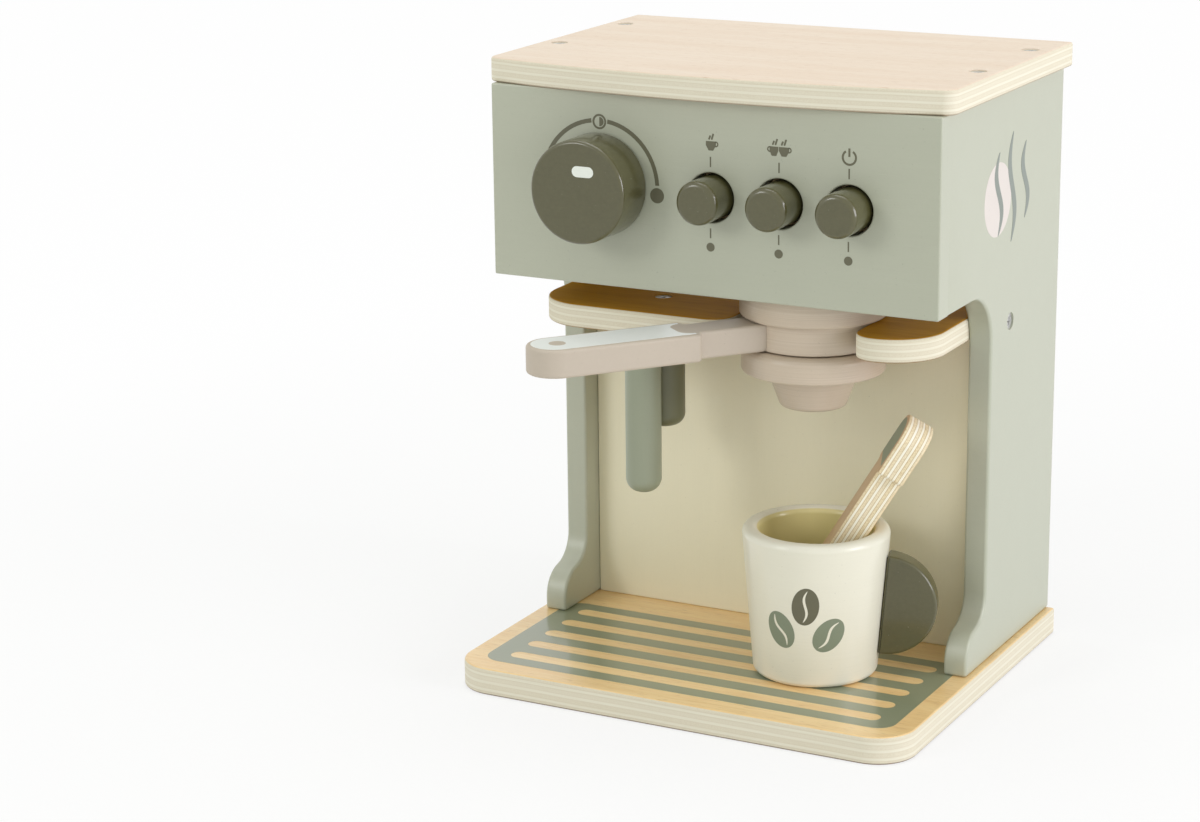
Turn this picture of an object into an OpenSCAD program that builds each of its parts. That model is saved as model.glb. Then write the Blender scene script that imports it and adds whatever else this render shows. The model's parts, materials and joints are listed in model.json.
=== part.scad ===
// Wooden toy coffee maker: plywood housing, rotary dial, three sprung push buttons,
// a filter holder that swings in a notched shelf and pulls out to the front,
// a cup on the drip tray and a plywood spoon standing in the cup.
// Frame: X to the right, Y to the back, Z up. The origin is the centre of the base's underside.

/* [Base board] */
// How far the base board stands out beyond each side panel
base_lip = 3; // [0:0.5:12]
// Depth of the base board
base_d = 176; // [170:1:200]
// Thickness of the base board
base_t = 11.5; // [9:0.5:15]
// Radius of the two front corners of the base board
base_r = 17; // [6:1:25]

/* [Housing] */
// Width over the two side panels
body_w = 196; // [176:1:220]
// Thickness of the side panels
side_t = 10; // [8:0.5:12]
// Height of the side panels' top edge above the table
body_top = 249; // [225:1:280]
// Distance from the front edge of the base to the face of the front panel
front_set = 39.5; // [36:0.5:42]
// Thickness of the front panel
front_t = 9.5; // [8:0.5:12]
// Height of the front panel
front_h = 79.3; // [70:0.1:90]
// Distance from the face of the front panel to the front edge of the columns
column_set = 58.6; // [54:0.2:64]
// Distance from the face of the front panel to the front edge of the feet
foot_set = 38; // [34:0.5:42]
// Radius of the arch between the overhang and the column
arch_r = 21.5; // [8:0.5:24]
// Radius of both arcs of the foot's curve
foot_r = 12.5; // [11:0.5:15]
// Height of the foot's straight front edge
foot_lip = 5.5; // [2:0.5:8]
// Distance from the face of the front panel to the front of the bay's back panel
back_set = 69.7; // [69.5:0.1:78]
// Thickness of the bay's back panel
back_t = 10; // [8:0.5:12]

/* [Top board] */
// How far the top board stands out beyond each side panel
top_lip = 3.5; // [0:0.5:10]
// Thickness of the top board
top_t = 10; // [8:0.5:14]
// Rise of the top board's bowed front edge
top_bow = 10.6; // [3:0.1:14]
// How far the middle of the bowed edge stands in front of the front panel
top_nose = 7.1; // [3:0.1:12]
// Radius of the top board's front corners
top_r = 6; // [2:0.5:10]

/* [Shelf] */
// Gap between the filter holder's upper disc and the front panel above it
slot_gap = 0.5; // [0.3:0.1:10]
// Thickness of the shelf
shelf_t = 10; // [8:0.5:11]
// Distance from the face of the front panel back to the shelf's front edge
shelf_nose = 11; // [10.5:0.5:13]
// Depth of the shelf
shelf_d = 89; // [80:1:100]
// Radius of the shelf's front corners
shelf_r = 22; // [10:1:24]
// Width of the notch that holds the filter holder
notch_w = 54.2; // [54:0.1:56]
// Radius where the notch opens to the shelf's front edge
notch_r = 10; // [9:0.5:10.5]

/* [Hanging rods] */
// Distance of both rods from the housing's left face
rod_in = 58; // [50:0.5:64]
// Diameter of the steam wand
wand_d = 15; // [12:0.5:16]
// Length of the steam wand below the shelf
wand_len = 69.4; // [50:0.2:72]
// Radius of the steam wand's rounded end
wand_end_r = 6; // [2:0.5:6]
// Distance from the shelf's front edge to the axis of the steam wand
wand_set = 9.3; // [8.5:0.1:10]
// Diameter of the water spout
spout_d = 18; // [14:0.5:19]
// Length of the water spout below the shelf
spout_len = 45; // [30:1:60]
// Radius of the water spout's rounded end
spout_end_r = 5; // [1:0.5:7]
// Distance between the axes of the two rods
rod_pitch = 18.9; // [18:0.1:24]

/* [Dial] */
// Distance of the dial's axis from the housing's left face
dial_in = 49.7; // [45:0.1:54]
// Height of the dial's axis above the front panel's lower edge
dial_up = 41.8; // [36:0.1:44]
// Diameter of the dial
dial_d = 42; // [34:0.5:48]
// Length of the dial
dial_len = 20; // [16:0.1:24]
// Diameter of the dial's wooden axle
axle_d = 10; // [8:0.5:11]
// Diameter of the click wheel
wheel_d = 30; // [26:0.5:32]
// Thickness of the click wheel
wheel_t = 8; // [6:0.5:9]
// Number of notches in the click wheel
wheel_notches = 12; // [8:1:16]

/* [Buttons] */
// Distance of the last button's axis from the housing's right face
button_in = 37.8; // [34:0.1:42]
// Distance between neighbouring buttons
button_pitch = 29.6; // [27:0.1:31]
// Height of the buttons' axes above the front panel's lower edge
button_up = 40.3; // [36:0.1:44]
// Diameter of the button caps
button_d = 17.8; // [14:0.1:18]
// Diameter of the holes in the front panel
button_hole = 20; // [19:0.1:21]
// How far a button stands out of the front panel
button_out = 14; // [11:0.5:18]
// Travel of a button
button_travel = 8; // [4:0.5:10]
// Diameter of the collar that stops a button behind the front panel
collar_d = 25; // [23:0.5:26]
// Thickness of the collar
collar_t = 4; // [3:0.5:5]
// Diameter of the guide stem
stem_d = 6; // [5:0.5:7]
// Length of a button spring at rest
spring_len = 22; // [20:0.5:26]
// Mean diameter of a button spring
spring_d = 11; // [10:0.5:13]
// Diameter of the spring wire
wire_d = 1.2; // [0.8:0.1:1.6]
// Number of turns of a button spring
spring_turns = 6; // [4:1:7]

/* [Filter holder] */
// Distance of the filter holder's axis from the housing's right face
filter_in = 69.3; // [66:0.1:72]
// Distance from the face of the front panel to the filter holder's axis
filter_set = 38.6; // [38:0.1:39]
// Diameter of the upper disc, which rests on the shelf
disc_d = 60.5; // [58:0.5:61]
// Thickness of the upper disc
disc_t = 11.4; // [8:0.1:14]
// Diameter of the recess for a coffee pad
pad_d = 43; // [38:0.5:48]
// Depth of the recess for a coffee pad
pad_deep = 5; // [4.5:0.1:7]
// Diameter of the neck that turns in the notch
neck_d = 52; // [48:0.5:53]
// Thickness of the neck and of the lever
lever_t = 11.5; // [10:0.1:12]
// Distance from the axis to the lever's tip
lever_len = 125; // [110:0.5:140]
// Distance from the axis to the start of the grip
grip_start = 54.5; // [48:0.5:60]
// Width of the grip
grip_w = 23; // [18:0.5:26]
// Width of the arm between neck and grip
arm_w = 15; // [12:0.5:15]
// Radius of the grip's shoulders and of the corners before them
grip_r = 2.5; // [1:0.1:3.5]
// Length of the pin that joins the lever to the neck
lever_pin_len = 34; // [24:1:40]
// Angle of the lever to the left of straight ahead, at rest
lever_turn = 39; // [30:0.5:39]
// Diameter of the flange under the neck
flange_d = 59; // [54:0.5:60]
// Thickness of the flange
flange_t = 10.8; // [9:0.1:13]
// Shadow gaps between the neck and the disc above it and the flange below it
neck_gap = 0.5; // [0.2:0.1:0.8]
// Diameter of the bosses that bridge these gaps
boss_d = 20; // [12:0.5:30]
// Diameter of the bolt that holds the filter holder together
bolt_d = 5; // [4:0.5:6]
// Diameter of the bolt's head
bolt_head_d = 10; // [8:0.5:12]
// Height of the bolt's head
bolt_head_h = 2; // [1:0.5:3]
// Distance of the bolt's lower end from the nozzle's lower end
bolt_lift = 5; // [3:0.5:10]
// Diameter of the nozzle at the flange
nozzle_top_d = 38; // [32:0.5:44]
// Diameter of the nozzle's lower end
nozzle_low_d = 27; // [20:0.5:30]
// Length of the nozzle
nozzle_len = 15.2; // [10:0.1:20]

/* [Cup] */
// Distance of the cup's axis from the housing's right face
cup_in = 60.3; // [58:0.1:68]
// Distance from the face of the front panel to the cup's axis
cup_set = 22.5; // [14:0.5:24]
// Height of the cup
cup_h = 62; // [50:0.5:66]
// Diameter of the cup at its rim
cup_top_d = 61.4; // [56:0.2:64]
// Diameter of the cup at its foot
cup_low_d = 51; // [46:0.5:54]
// Wall thickness at the rim
cup_wall = 7; // [5:0.5:8]
// How much narrower the cup is inside at its floor, in radius
cup_taper = 3.4; // [1:0.2:5]
// Radius of the cup's rounded foot
cup_foot_r = 2.6; // [1:0.1:4]
// Thickness of the cup's floor
cup_floor = 9; // [6:0.5:11]
// Diameter of the round handle
ear_d = 42.4; // [32:0.2:44]
// Thickness of the round handle
ear_t = 10; // [7:0.5:12]
// Distance from the cup's axis to the middle of the round handle
ear_set = 28.8; // [26:0.2:30]
// Height of the middle of the round handle above the cup's foot
ear_up = 30; // [24:0.5:34]
// Direction of the round handle, turned back from straight right
ear_turn = 17; // [0:1:20]

/* [Spoon] */
// Length of the spoon
spoon_len = 111; // [100:1:114]
// Thickness of the spoon
spoon_t = 11.5; // [9:0.5:11.5]
// Diameter of the spoon's round bowl end
spoon_bowl_d = 26; // [20:0.5:26]
// Width of the shank
spoon_shank_w = 14.5; // [10:0.5:16]
// Radius of the hollow curve from the shank into the bowl end
spoon_flare_r = 9; // [3:0.5:14]
// Width of the spoon's grip end
spoon_grip_w = 21; // [16:0.5:24]
// Length of the spoon's grip end
spoon_grip_len = 24; // [20:0.5:30]
// Radius of the grip end's two outer corners
spoon_tip_r = 9; // [4:0.5:10]
// Lean of the spoon from upright
spoon_lean = 31; // [30:0.5:32]
// Direction in which the spoon leans, turned back from straight right
spoon_turn = 11; // [5:1:20]
// Turn of the spoon about its own length
spoon_roll = 10; // [0:1:14]
// Distance of the spoon's lower end from the cup's axis
spoon_reach = 14.5; // [13.5:0.1:15]

/* [Fits] */
// Gap between pieces that slide or turn on each other
slide_gap = 0.3; // [0.2:0.05:0.4]
// Gap under the cup and past the bolt's end
rest_gap = 0.15; // [0.1:0.05:0.3]
// Radial gap round screws, pins and glued rods
pin_gap = 0.08; // [0.05:0.01:0.15]
// Radial gap of a running shaft in its bore
run_gap = 0.08; // [0.05:0.01:0.1]
// Diameter of the wood screws' shanks
screw_d = 3.5; // [3:0.1:4]
// Diameter of the wood screws' heads
screw_head_d = 7; // [6:0.1:8]
// Depth of a screw head below the surface
screw_sink = 0.6; // [0.2:0.1:1]
// Length of the wood screws
screw_len = 26; // [22:0.5:30]
// Diameter of the wooden joining pins
pin_d = 6; // [5:0.5:7]
// Distance from the face of the front panel to the front pair of screws in the top board
top_screw_set = 49.3; // [40:0.1:55]
// Distance between the two pairs of screws in the top board
top_screw_pitch = 59.3; // [50:0.1:70]
// Distance of the base screws from the front and back ends of the columns
base_screw_in = 13; // [8:0.5:18]
// Distance between the two screws that hold the bay's back panel
back_screw_pitch = 96; // [60:1:130]
// Distance of the pins from the front panel's upper and lower edges
panel_pin_in = 17; // [10:0.5:25]
// Depth of the pins in the front panel
panel_pin_deep = 5.5; // [4:0.5:7]
// Depth of the pins in the side panels' front edges
side_pin_deep = 14; // [10:0.5:20]

/* [Hidden] */
$fn = 64;

// Finishes
birch = "burlywood";
sage = "darkseagreen";
cream = "cornsilk";
taupe = "rosybrown";
olive = "darkolivegreen";
steel = "silver";

// Places that follow from the sizes above
front_y = -base_d / 2 + front_set;
front_back_y = front_y + front_t;
rear_y = base_d / 2;
front_low = body_top - front_h;
column_y = front_y + column_set;
foot_y = front_y + foot_set;
back_y = front_y + back_set;
inner_x = body_w / 2 - side_t;
side_mid_x = body_w / 2 - side_t / 2;
base_w = body_w + 2 * base_lip;
top_w = body_w + 2 * top_lip;
disc_low = front_low - slot_gap - disc_t;
shelf_top = disc_low - slide_gap;
shelf_low = shelf_top - shelf_t;
rod_x = -body_w / 2 + rod_in;
shelf_front_y = front_y + shelf_nose;
shelf_rear_y = shelf_front_y + shelf_d;
shelf_screw_y = (column_y + shelf_rear_y) / 2;
wand_y = shelf_front_y + wand_set;
spout_y = wand_y + rod_pitch;
dial_x = -body_w / 2 + dial_in;
dial_z = front_low + dial_up;
button_z = front_low + button_up;
filter_x = body_w / 2 - filter_in;
filter_y = front_y + filter_set;
lever_low = disc_low - neck_gap - lever_t;
flange_top = lever_low - neck_gap;
flange_low = flange_top - flange_t;
cup_x = body_w / 2 - cup_in;
cup_y = front_y + cup_set;
cup_z = base_t + rest_gap;
collar_y = front_back_y + slide_gap;
spring_y = collar_y + collar_t + pin_gap;
rail_y = spring_y + spring_len + pin_gap;
rail_t = 10;
rail_h = 26;
wheel_y = front_back_y + slide_gap;

// One of each of the three buttons, from left to right
function button_pos(i) = [body_w / 2 - button_in - (2 - i) * button_pitch, front_y, button_z];

// ---------- shared shapes ----------

// Rectangle with its two low-y corners rounded
module board_outline(w, d, r) {
    translate([-w / 2, r]) square([w, d - r]);
    translate([-w / 2 + r, 0]) square([w - 2 * r, r + 0.01]);
    for (s = [-1, 1])
        translate([s * (w / 2 - r), r]) circle(r);
}

// Fills the inner corner at the origin between the +x and +y directions
module corner_fill(r) {
    difference() {
        translate([-0.01, -0.01]) square(r + 0.01);
        translate([r, r]) circle(r);
    }
}

// Points of an arc, centre c, from angle a to angle b
function arc(c, r, a, b, n = 8) =
    [for (i = [0:n]) let (t = a + (b - a) * i / n) c + r * [cos(t), sin(t)]];

// Turned piece whose axis runs along +Y from the origin
module turned_y(points) {
    rotate([-90, 0, 0]) rotate_extrude() polygon(points);
}

// Round rod along +Y from the origin
module rod_y(d, len) {
    rotate([-90, 0, 0]) cylinder(d = d, h = len);
}

// Countersunk wood screw, head at the origin, point along -Z
module wood_screw() {
    head_h = (screw_head_d - screw_d) / 2;
    point = 4;
    point_d = 0.8;
    translate([0, 0, -head_h]) cylinder(d1 = screw_d, d2 = screw_head_d, h = head_h, $fn = 48);
    translate([0, 0, -screw_len + point]) cylinder(d = screw_d, h = screw_len - point - head_h + 0.01);
    translate([0, 0, -screw_len]) cylinder(d1 = point_d, d2 = screw_d, h = point + 0.01, $fn = 48);
}

// Bore for that screw, with its countersink
module screw_bore() {
    head_h = (screw_head_d - screw_d) / 2;
    sunk_d = screw_head_d + 4 * pin_gap;
    translate([0, 0, -screw_len - 0.5]) cylinder(d = screw_d + 2 * pin_gap, h = screw_len + 1);
    translate([0, 0, -head_h - pin_gap])
        cylinder(d1 = screw_d + 2 * pin_gap, d2 = sunk_d, h = head_h + pin_gap + 0.01, $fn = 48);
    cylinder(d = sunk_d, h = screw_sink + 1);
}

// ---------- where the fasteners sit ----------

module at_top_screws() {
    for (s = [-1, 1], row = [0, top_screw_pitch])
        translate([s * side_mid_x, front_y + top_screw_set + row, body_top + top_t - screw_sink])
            children();
}

module at_side_screws() {
    for (s = [-1, 1])
        translate([s * (body_w / 2 - screw_sink), shelf_screw_y, shelf_top - shelf_t / 2])
            rotate([0, s * 90, 0]) children();
}

module at_base_screws() {
    for (s = [-1, 1], y = [column_y + base_screw_in, rear_y - base_screw_in])
        translate([s * side_mid_x, y, screw_sink]) rotate([180, 0, 0]) children();
    for (s = [-1, 1])
        translate([s * back_screw_pitch / 2, back_y + back_t / 2, screw_sink]) rotate([180, 0, 0]) children();
}

module at_panel_pins() {
    for (s = [-1, 1], z = [front_low + panel_pin_in, body_top - panel_pin_in])
        translate([s * side_mid_x, front_back_y - panel_pin_deep, z]) children();
}

panel_pin_len = panel_pin_deep + side_pin_deep;

module spout_screw_place() {
    translate([rod_x, spout_y, shelf_top - screw_sink]) children();
}

// ---------- housing ----------

module base_board() {
    color(birch) difference() {
        translate([0, -base_d / 2, 0]) linear_extrude(base_t) board_outline(base_w, base_d, base_r);
        at_base_screws() screw_bore();
    }
}

// Outline of a side panel: x is the depth, y is the height
module side_outline() {
    r = foot_r;
    lip_z = base_t + foot_lip;
    run = column_y - foot_y - 2 * r;
    rise = sqrt(4 * r * r - run * run);
    // The foot's two arcs touch where the line between their centres crosses them
    meet = atan2(rise, run);
    polygon(concat(
        [[foot_y, base_t]],
        arc([foot_y + r, lip_z], r, 180, meet),
        arc([column_y - r, lip_z + rise], r, meet + 180, 360),
        arc([column_y - arch_r, front_low - arch_r], arch_r, 0, 90, 16),
        [[front_back_y, front_low], [front_back_y, body_top], [rear_y, body_top], [rear_y, base_t]]));
}

module side_panel(s) {
    color(sage) difference() {
        translate([s * side_mid_x - side_t / 2, 0, 0])
            rotate([90, 0, 90]) linear_extrude(side_t) side_outline();
        at_top_screws() screw_bore();
        at_side_screws() screw_bore();
        at_base_screws() screw_bore();
        at_panel_pins() rod_y(pin_d + 2 * pin_gap, panel_pin_len + pin_gap);
    }
}

module side_panel_left() { side_panel(-1); }

module side_panel_right() { side_panel(1); }

module front_panel() {
    color(sage) difference() {
        translate([-body_w / 2, front_y, front_low]) cube([body_w, front_t, front_h]);
        translate([dial_x, front_y - 1, dial_z]) rod_y(axle_d + 2 * run_gap, front_t + 2);
        for (i = [0:2])
            translate(button_pos(i) - [0, 1, 0]) rod_y(button_hole, front_t + 2);
        at_panel_pins() translate([0, -pin_gap, 0]) rod_y(pin_d + 2 * pin_gap, panel_pin_len);
    }
}

module back_panel() {
    color(cream) difference() {
        translate([-inner_x, back_y, base_t]) cube([2 * inner_x, back_t, shelf_low - base_t]);
        at_base_screws() screw_bore();
    }
}

module top_board() {
    half = top_w / 2;
    depth = rear_y - front_y + top_nose;
    bow_r = (half * half + top_bow * top_bow) / (2 * top_bow);
    // The corners' arcs touch the bow from inside
    corner = [half - top_r, bow_r - sqrt(pow(bow_r - top_r, 2) - pow(half - top_r, 2))];
    meet_x = corner[0] * bow_r / (bow_r - top_r);
    color(birch) difference() {
        translate([0, front_y - top_nose, body_top]) linear_extrude(top_t) {
            intersection() {
                translate([-meet_x, 0]) square([2 * meet_x, depth]);
                translate([0, bow_r]) circle(bow_r, $fn = 720);
            }
            translate([-half, corner[1]]) square([top_w, depth - corner[1]]);
            for (s = [-1, 1])
                translate([s * corner[0], corner[1]]) circle(top_r);
        }
        at_top_screws() screw_bore();
    }
}

module shelf() {
    notch_c = filter_y - shelf_front_y;
    color(birch) difference() {
        translate([0, shelf_front_y, shelf_low]) linear_extrude(shelf_t) difference() {
            board_outline(2 * inner_x, shelf_d, shelf_r);
            translate([filter_x, notch_c]) circle(d = notch_w);
            translate([filter_x - notch_w / 2, -1]) square([notch_w, notch_c + 1]);
            for (s = [-1, 1])
                translate([filter_x + s * notch_w / 2, 0]) rotate(s < 0 ? 90 : 0) corner_fill(notch_r);
        }
        spout_screw_place() screw_bore();
        at_side_screws() screw_bore();
        wand_pin_place() wand_pin_bore();
    }
}

// ---------- rods under the shelf ----------

module hanging_rod(d, len, round_r) {
    round_end = arc([d / 2 - round_r, round_r - len], round_r, 0, -90);
    rotate_extrude() polygon(concat([[0, 0], [d / 2, 0]], round_end, [[0, -len]]));
}

wand_pin_up = 6;
wand_pin_len = 18;

module wand_pin_place() {
    translate([rod_x, wand_y, shelf_low + wand_pin_up - wand_pin_len]) children();
}

module wand_pin_bore() {
    translate([0, 0, -pin_gap]) cylinder(d = pin_d + 2 * pin_gap, h = wand_pin_len + 2 * pin_gap);
}

module steam_wand() {
    color(sage) difference() {
        translate([rod_x, wand_y, shelf_low]) hanging_rod(wand_d, wand_len, wand_end_r);
        wand_pin_place() wand_pin_bore();
    }
}

module wand_pin() { color(birch) wand_pin_place() cylinder(d = pin_d, h = wand_pin_len); }

module water_spout() {
    color(olive) difference() {
        translate([rod_x, spout_y, shelf_low]) hanging_rod(spout_d, spout_len, spout_end_r);
        spout_screw_place() screw_bore();
    }
}

module spout_screw() { color(steel) spout_screw_place() wood_screw(); }

module top_screws() { color(steel) at_top_screws() wood_screw(); }

module side_screws() { color(steel) at_side_screws() wood_screw(); }

module base_screws() { color(steel) at_base_screws() wood_screw(); }

module panel_pins() { color(birch) at_panel_pins() rod_y(pin_d, panel_pin_len); }

// ---------- works behind the front panel ----------

module spring_rail() {
    color(birch) difference() {
        translate([-inner_x, rail_y, button_z - rail_h / 2]) cube([2 * inner_x, rail_t, rail_h]);
        for (i = [0:2])
            translate(button_pos(i) + [0, rail_y - front_y - 1, 0]) rod_y(stem_d + 2 * run_gap, rail_t + 2);
    }
}

block_w = 10;
block_gap = 8;
block_h = 12;
block_d = wheel_t + 1;
leaf_t = 0.8;
leaf_w = 6;
leaf_past = 3;
tack_d = 2;
tack_len = 9;
leaf_z = dial_z + wheel_d / 2 + slide_gap;
block_x = dial_x - wheel_d / 2 - block_gap - block_w;

module click_block() {
    color(birch) translate([block_x, front_back_y, leaf_z - block_h]) difference() {
        cube([block_w, block_d, block_h]);
        translate([block_w / 2, block_d / 2, block_h + leaf_t - tack_len - 1])
            cylinder(d = tack_d + 2 * pin_gap, h = tack_len + 2);
    }
}

module click_spring() {
    color(steel) difference() {
        translate([block_x, wheel_y + (wheel_t - leaf_w) / 2, leaf_z])
            cube([dial_x - block_x + leaf_past, leaf_w, leaf_t]);
        click_screw_place() cylinder(d = tack_d + 2 * pin_gap, h = 4 * leaf_t, center = true);
    }
}

module click_screw_place() {
    translate([block_x + block_w / 2, front_back_y + block_d / 2, leaf_z + leaf_t]) children();
}

module click_screw() {
    color(steel) click_screw_place() {
        translate([0, 0, -tack_len]) cylinder(d = tack_d, h = tack_len + 0.01);
        cylinder(d = 2 * tack_d, h = 0.7 * tack_d);
    }
}

// ---------- dial ----------

knob_y = front_y - slide_gap - dial_len;
axle_in = 9;
axle_len = axle_in + slide_gap + front_t + slide_gap + wheel_t;
axle_screw_d = 2.5;
axle_screw_len = 10;

module dial_knob() {
    r = dial_d / 2;
    edge = 1.6;
    rear_edge = 0.8;
    color(olive) translate([dial_x, knob_y, dial_z]) difference() {
        turned_y(concat([[0, 0]], arc([r - edge, edge], edge, -90, 0),
                        arc([r - rear_edge, dial_len - rear_edge], rear_edge, 0, 90), [[0, dial_len]]));
        translate([0, dial_len - axle_in, 0]) rod_y(axle_d + 2 * pin_gap, axle_in + 1);
    }
}

module dial_axle() {
    color(birch) translate([dial_x, knob_y + dial_len - axle_in, dial_z]) difference() {
        translate([0, pin_gap, 0]) rod_y(axle_d, axle_len - pin_gap);
        translate([0, axle_len - axle_screw_len - 1, 0])
            rod_y(axle_screw_d + 2 * pin_gap, axle_screw_len + 2);
    }
}

module click_wheel() {
    notch_r = 2.4;
    color(birch) translate([dial_x, wheel_y, dial_z]) difference() {
        rod_y(wheel_d, wheel_t);
        translate([0, -1, 0]) rod_y(axle_d + 2 * pin_gap, wheel_t + 2);
        for (i = [0:wheel_notches - 1])
            rotate([0, 360 * i / wheel_notches, 0])
                translate([0, -1, wheel_d / 2 + 0.8]) rod_y(2 * notch_r, wheel_t + 2);
    }
}

module dial_screw() {
    color(steel) translate([dial_x, wheel_y + wheel_t, dial_z]) {
        translate([0, -axle_screw_len, 0]) rod_y(axle_screw_d, axle_screw_len + 0.01);
        rod_y(axle_d + 4, 1);
        translate([0, 0.99, 0]) rod_y(2.2 * axle_screw_d, 0.7 * axle_screw_d);
    }
}

// ---------- buttons ----------

cap_len = button_out + front_t + slide_gap;

module button_cap(i) {
    r = button_d / 2;
    edge = 2.2;
    color(olive) translate(button_pos(i) - [0, button_out, 0]) difference() {
        turned_y(concat([[0, 0]], arc([r - edge, edge], edge, -90, 0), [[r, cap_len], [0, cap_len]]));
        translate([0, cap_len - stem_in, 0]) rod_y(stem_d + 2 * pin_gap, stem_in + 1);
    }
}

module button_collar(i) {
    color(birch) translate(button_pos(i) + [0, collar_y - front_y, 0]) difference() {
        rod_y(collar_d, collar_t);
        translate([0, -1, 0]) rod_y(stem_d + 2 * pin_gap, collar_t + 2);
    }
}

stem_in = 8;
stem_y = collar_y - stem_in + 0.1;
stem_len = rail_y + rail_t - 1 - stem_y;

module button_stem(i) {
    color(birch) translate(button_pos(i) + [0, stem_y - front_y, 0]) rod_y(stem_d, stem_len);
}

// Coil spring along +Y: a ring of points is carried round the helix and skinned
module coil(len, mean_d, wire, turns) {
    sides = 6;
    steps = 14 * turns;
    pitch = (len - wire) / turns;
    ring = [for (k = [0:steps]) let (t = 360 * turns * k / steps)
        for (j = [0:sides - 1]) let (a = 360 * j / sides, r = mean_d / 2 + wire / 2 * cos(a))
            [r * cos(t), wire / 2 + pitch * t / 360 + wire / 2 * sin(a), r * sin(t)]];
    skin = [for (k = [0:steps - 1], j = [0:sides - 1]) let (n = (j + 1) % sides)
        [k * sides + j, (k + 1) * sides + j, (k + 1) * sides + n, k * sides + n]];
    first = [[for (j = [0:sides - 1]) j]];
    last = [[for (j = [sides - 1:-1:0]) steps * sides + j]];
    polyhedron(ring, concat(first, skin, last));
}

module button_spring(i) {
    color(steel) translate(button_pos(i) + [0, spring_y - front_y, 0])
        coil(spring_len, spring_d, wire_d, spring_turns);
}

module button_single() { button_cap(0); }
module button_double() { button_cap(1); }
module button_power() { button_cap(2); }
module button_stem_single() { button_stem(0); }
module button_stem_double() { button_stem(1); }
module button_stem_power() { button_stem(2); }
module button_collar_single() { button_collar(0); }
module button_collar_double() { button_collar(1); }
module button_collar_power() { button_collar(2); }
module button_spring_single() { button_spring(0); }
module button_spring_double() { button_spring(1); }
module button_spring_power() { button_spring(2); }

// ---------- filter holder ----------

bolt_low = flange_low - nozzle_len + bolt_lift;

module bolt_bore() {
    translate([0, 0, bolt_low - rest_gap])
        cylinder(d = bolt_d + 2 * run_gap, h = disc_low + disc_t - bolt_low);
}

module filter_cup() {
    r = disc_d / 2;
    edge = 1.2;
    color(taupe) translate([filter_x, filter_y, 0]) difference() {
        union() {
            translate([0, 0, disc_low]) rotate_extrude()
                polygon(concat([[0, 0]], arc([r - edge, edge], edge, -90, 0),
                               arc([r - edge, disc_t - edge], edge, 0, 90), [[0, disc_t]]));
            translate([0, 0, disc_low - neck_gap]) cylinder(d = boss_d, h = neck_gap + 0.01);
        }
        translate([0, 0, disc_low + disc_t - pad_deep]) cylinder(d = pad_d, h = pad_deep + 1);
        bolt_bore();
    }
}

module filter_neck() {
    color(taupe) translate([filter_x, filter_y, 0]) difference() {
        translate([0, 0, lever_low]) cylinder(d = neck_d, h = lever_t);
        bolt_bore();
        lever_pin_place() lever_pin_bore();
    }
}

// Outline of the lever, lying along -y from the neck at the origin
module lever_outline() {
    tip_r = grip_w / 2;
    step = (grip_w - arm_w) / 2;
    outer_r = min(grip_r, 0.65 * step);
    translate([-arm_w / 2, -grip_start - tip_r]) square([arm_w, grip_start + tip_r]);
    translate([-grip_w / 2, -lever_len + tip_r]) square([grip_w, lever_len - tip_r - grip_start - outer_r]);
    translate([outer_r - grip_w / 2, -lever_len + tip_r])
        square([grip_w - 2 * outer_r, lever_len - tip_r - grip_start]);
    translate([0, -lever_len + tip_r]) circle(tip_r);
    for (s = [-1, 1]) {
        translate([s * (grip_w / 2 - outer_r), -grip_start - outer_r]) circle(outer_r);
        translate([s * arm_w / 2, -grip_start]) rotate(s < 0 ? 90 : 0) corner_fill(step - outer_r);
    }
}

// The pin's inner end stops short of the bolt
module lever_pin_place() {
    translate([0, 0, lever_low + lever_t / 2]) rotate([90, 0, -lever_turn])
        translate([0, 0, neck_d / 2 - lever_pin_len / 2]) children();
}

module lever_pin_bore() {
    translate([0, 0, -pin_gap]) cylinder(d = pin_d + 2 * pin_gap, h = lever_pin_len + 2 * pin_gap);
}

module lever_pin() {
    color(birch) translate([filter_x, filter_y, 0]) lever_pin_place() cylinder(d = pin_d, h = lever_pin_len);
}

module filter_lever() {
    color(taupe) translate([filter_x, filter_y, 0]) difference() {
        translate([0, 0, lever_low]) rotate(-lever_turn) linear_extrude(lever_t) lever_outline();
        translate([0, 0, lever_low - 1]) cylinder(d = neck_d + 2 * pin_gap, h = lever_t + 2);
        lever_pin_place() lever_pin_bore();
    }
}

module filter_flange() {
    r = flange_d / 2;
    top_edge = 3.5;
    low_edge = 1;
    color(taupe) translate([filter_x, filter_y, 0]) difference() {
        union() {
            translate([0, 0, flange_low]) rotate_extrude()
                polygon(concat([[0, 0]], arc([r - low_edge, low_edge], low_edge, -90, 0),
                               arc([r - top_edge, flange_t - top_edge], top_edge, 0, 90), [[0, flange_t]]));
            translate([0, 0, flange_top - 0.01]) cylinder(d = boss_d, h = neck_gap + 0.01);
        }
        bolt_bore();
    }
}

module filter_nozzle() {
    edge = 2;
    low = nozzle_low_d / 2;
    color(taupe) translate([filter_x, filter_y, 0]) difference() {
        translate([0, 0, flange_low - nozzle_len]) rotate_extrude()
            polygon(concat([[0, 0]], arc([low - edge, edge], edge, -90, -20), [[nozzle_top_d / 2, nozzle_len],
                           [0, nozzle_len]]));
        bolt_bore();
    }
}

module filter_screw() {
    seat = disc_low + disc_t - pad_deep;
    color(steel) translate([filter_x, filter_y, 0]) {
        translate([0, 0, bolt_low]) cylinder(d = bolt_d, h = seat - bolt_low + 0.01);
        translate([0, 0, seat]) cylinder(d = bolt_head_d, h = bolt_head_h);
    }
}

// ---------- cup and spoon ----------

handle_pin_in = 5;
handle_pin_len = 15;

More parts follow.
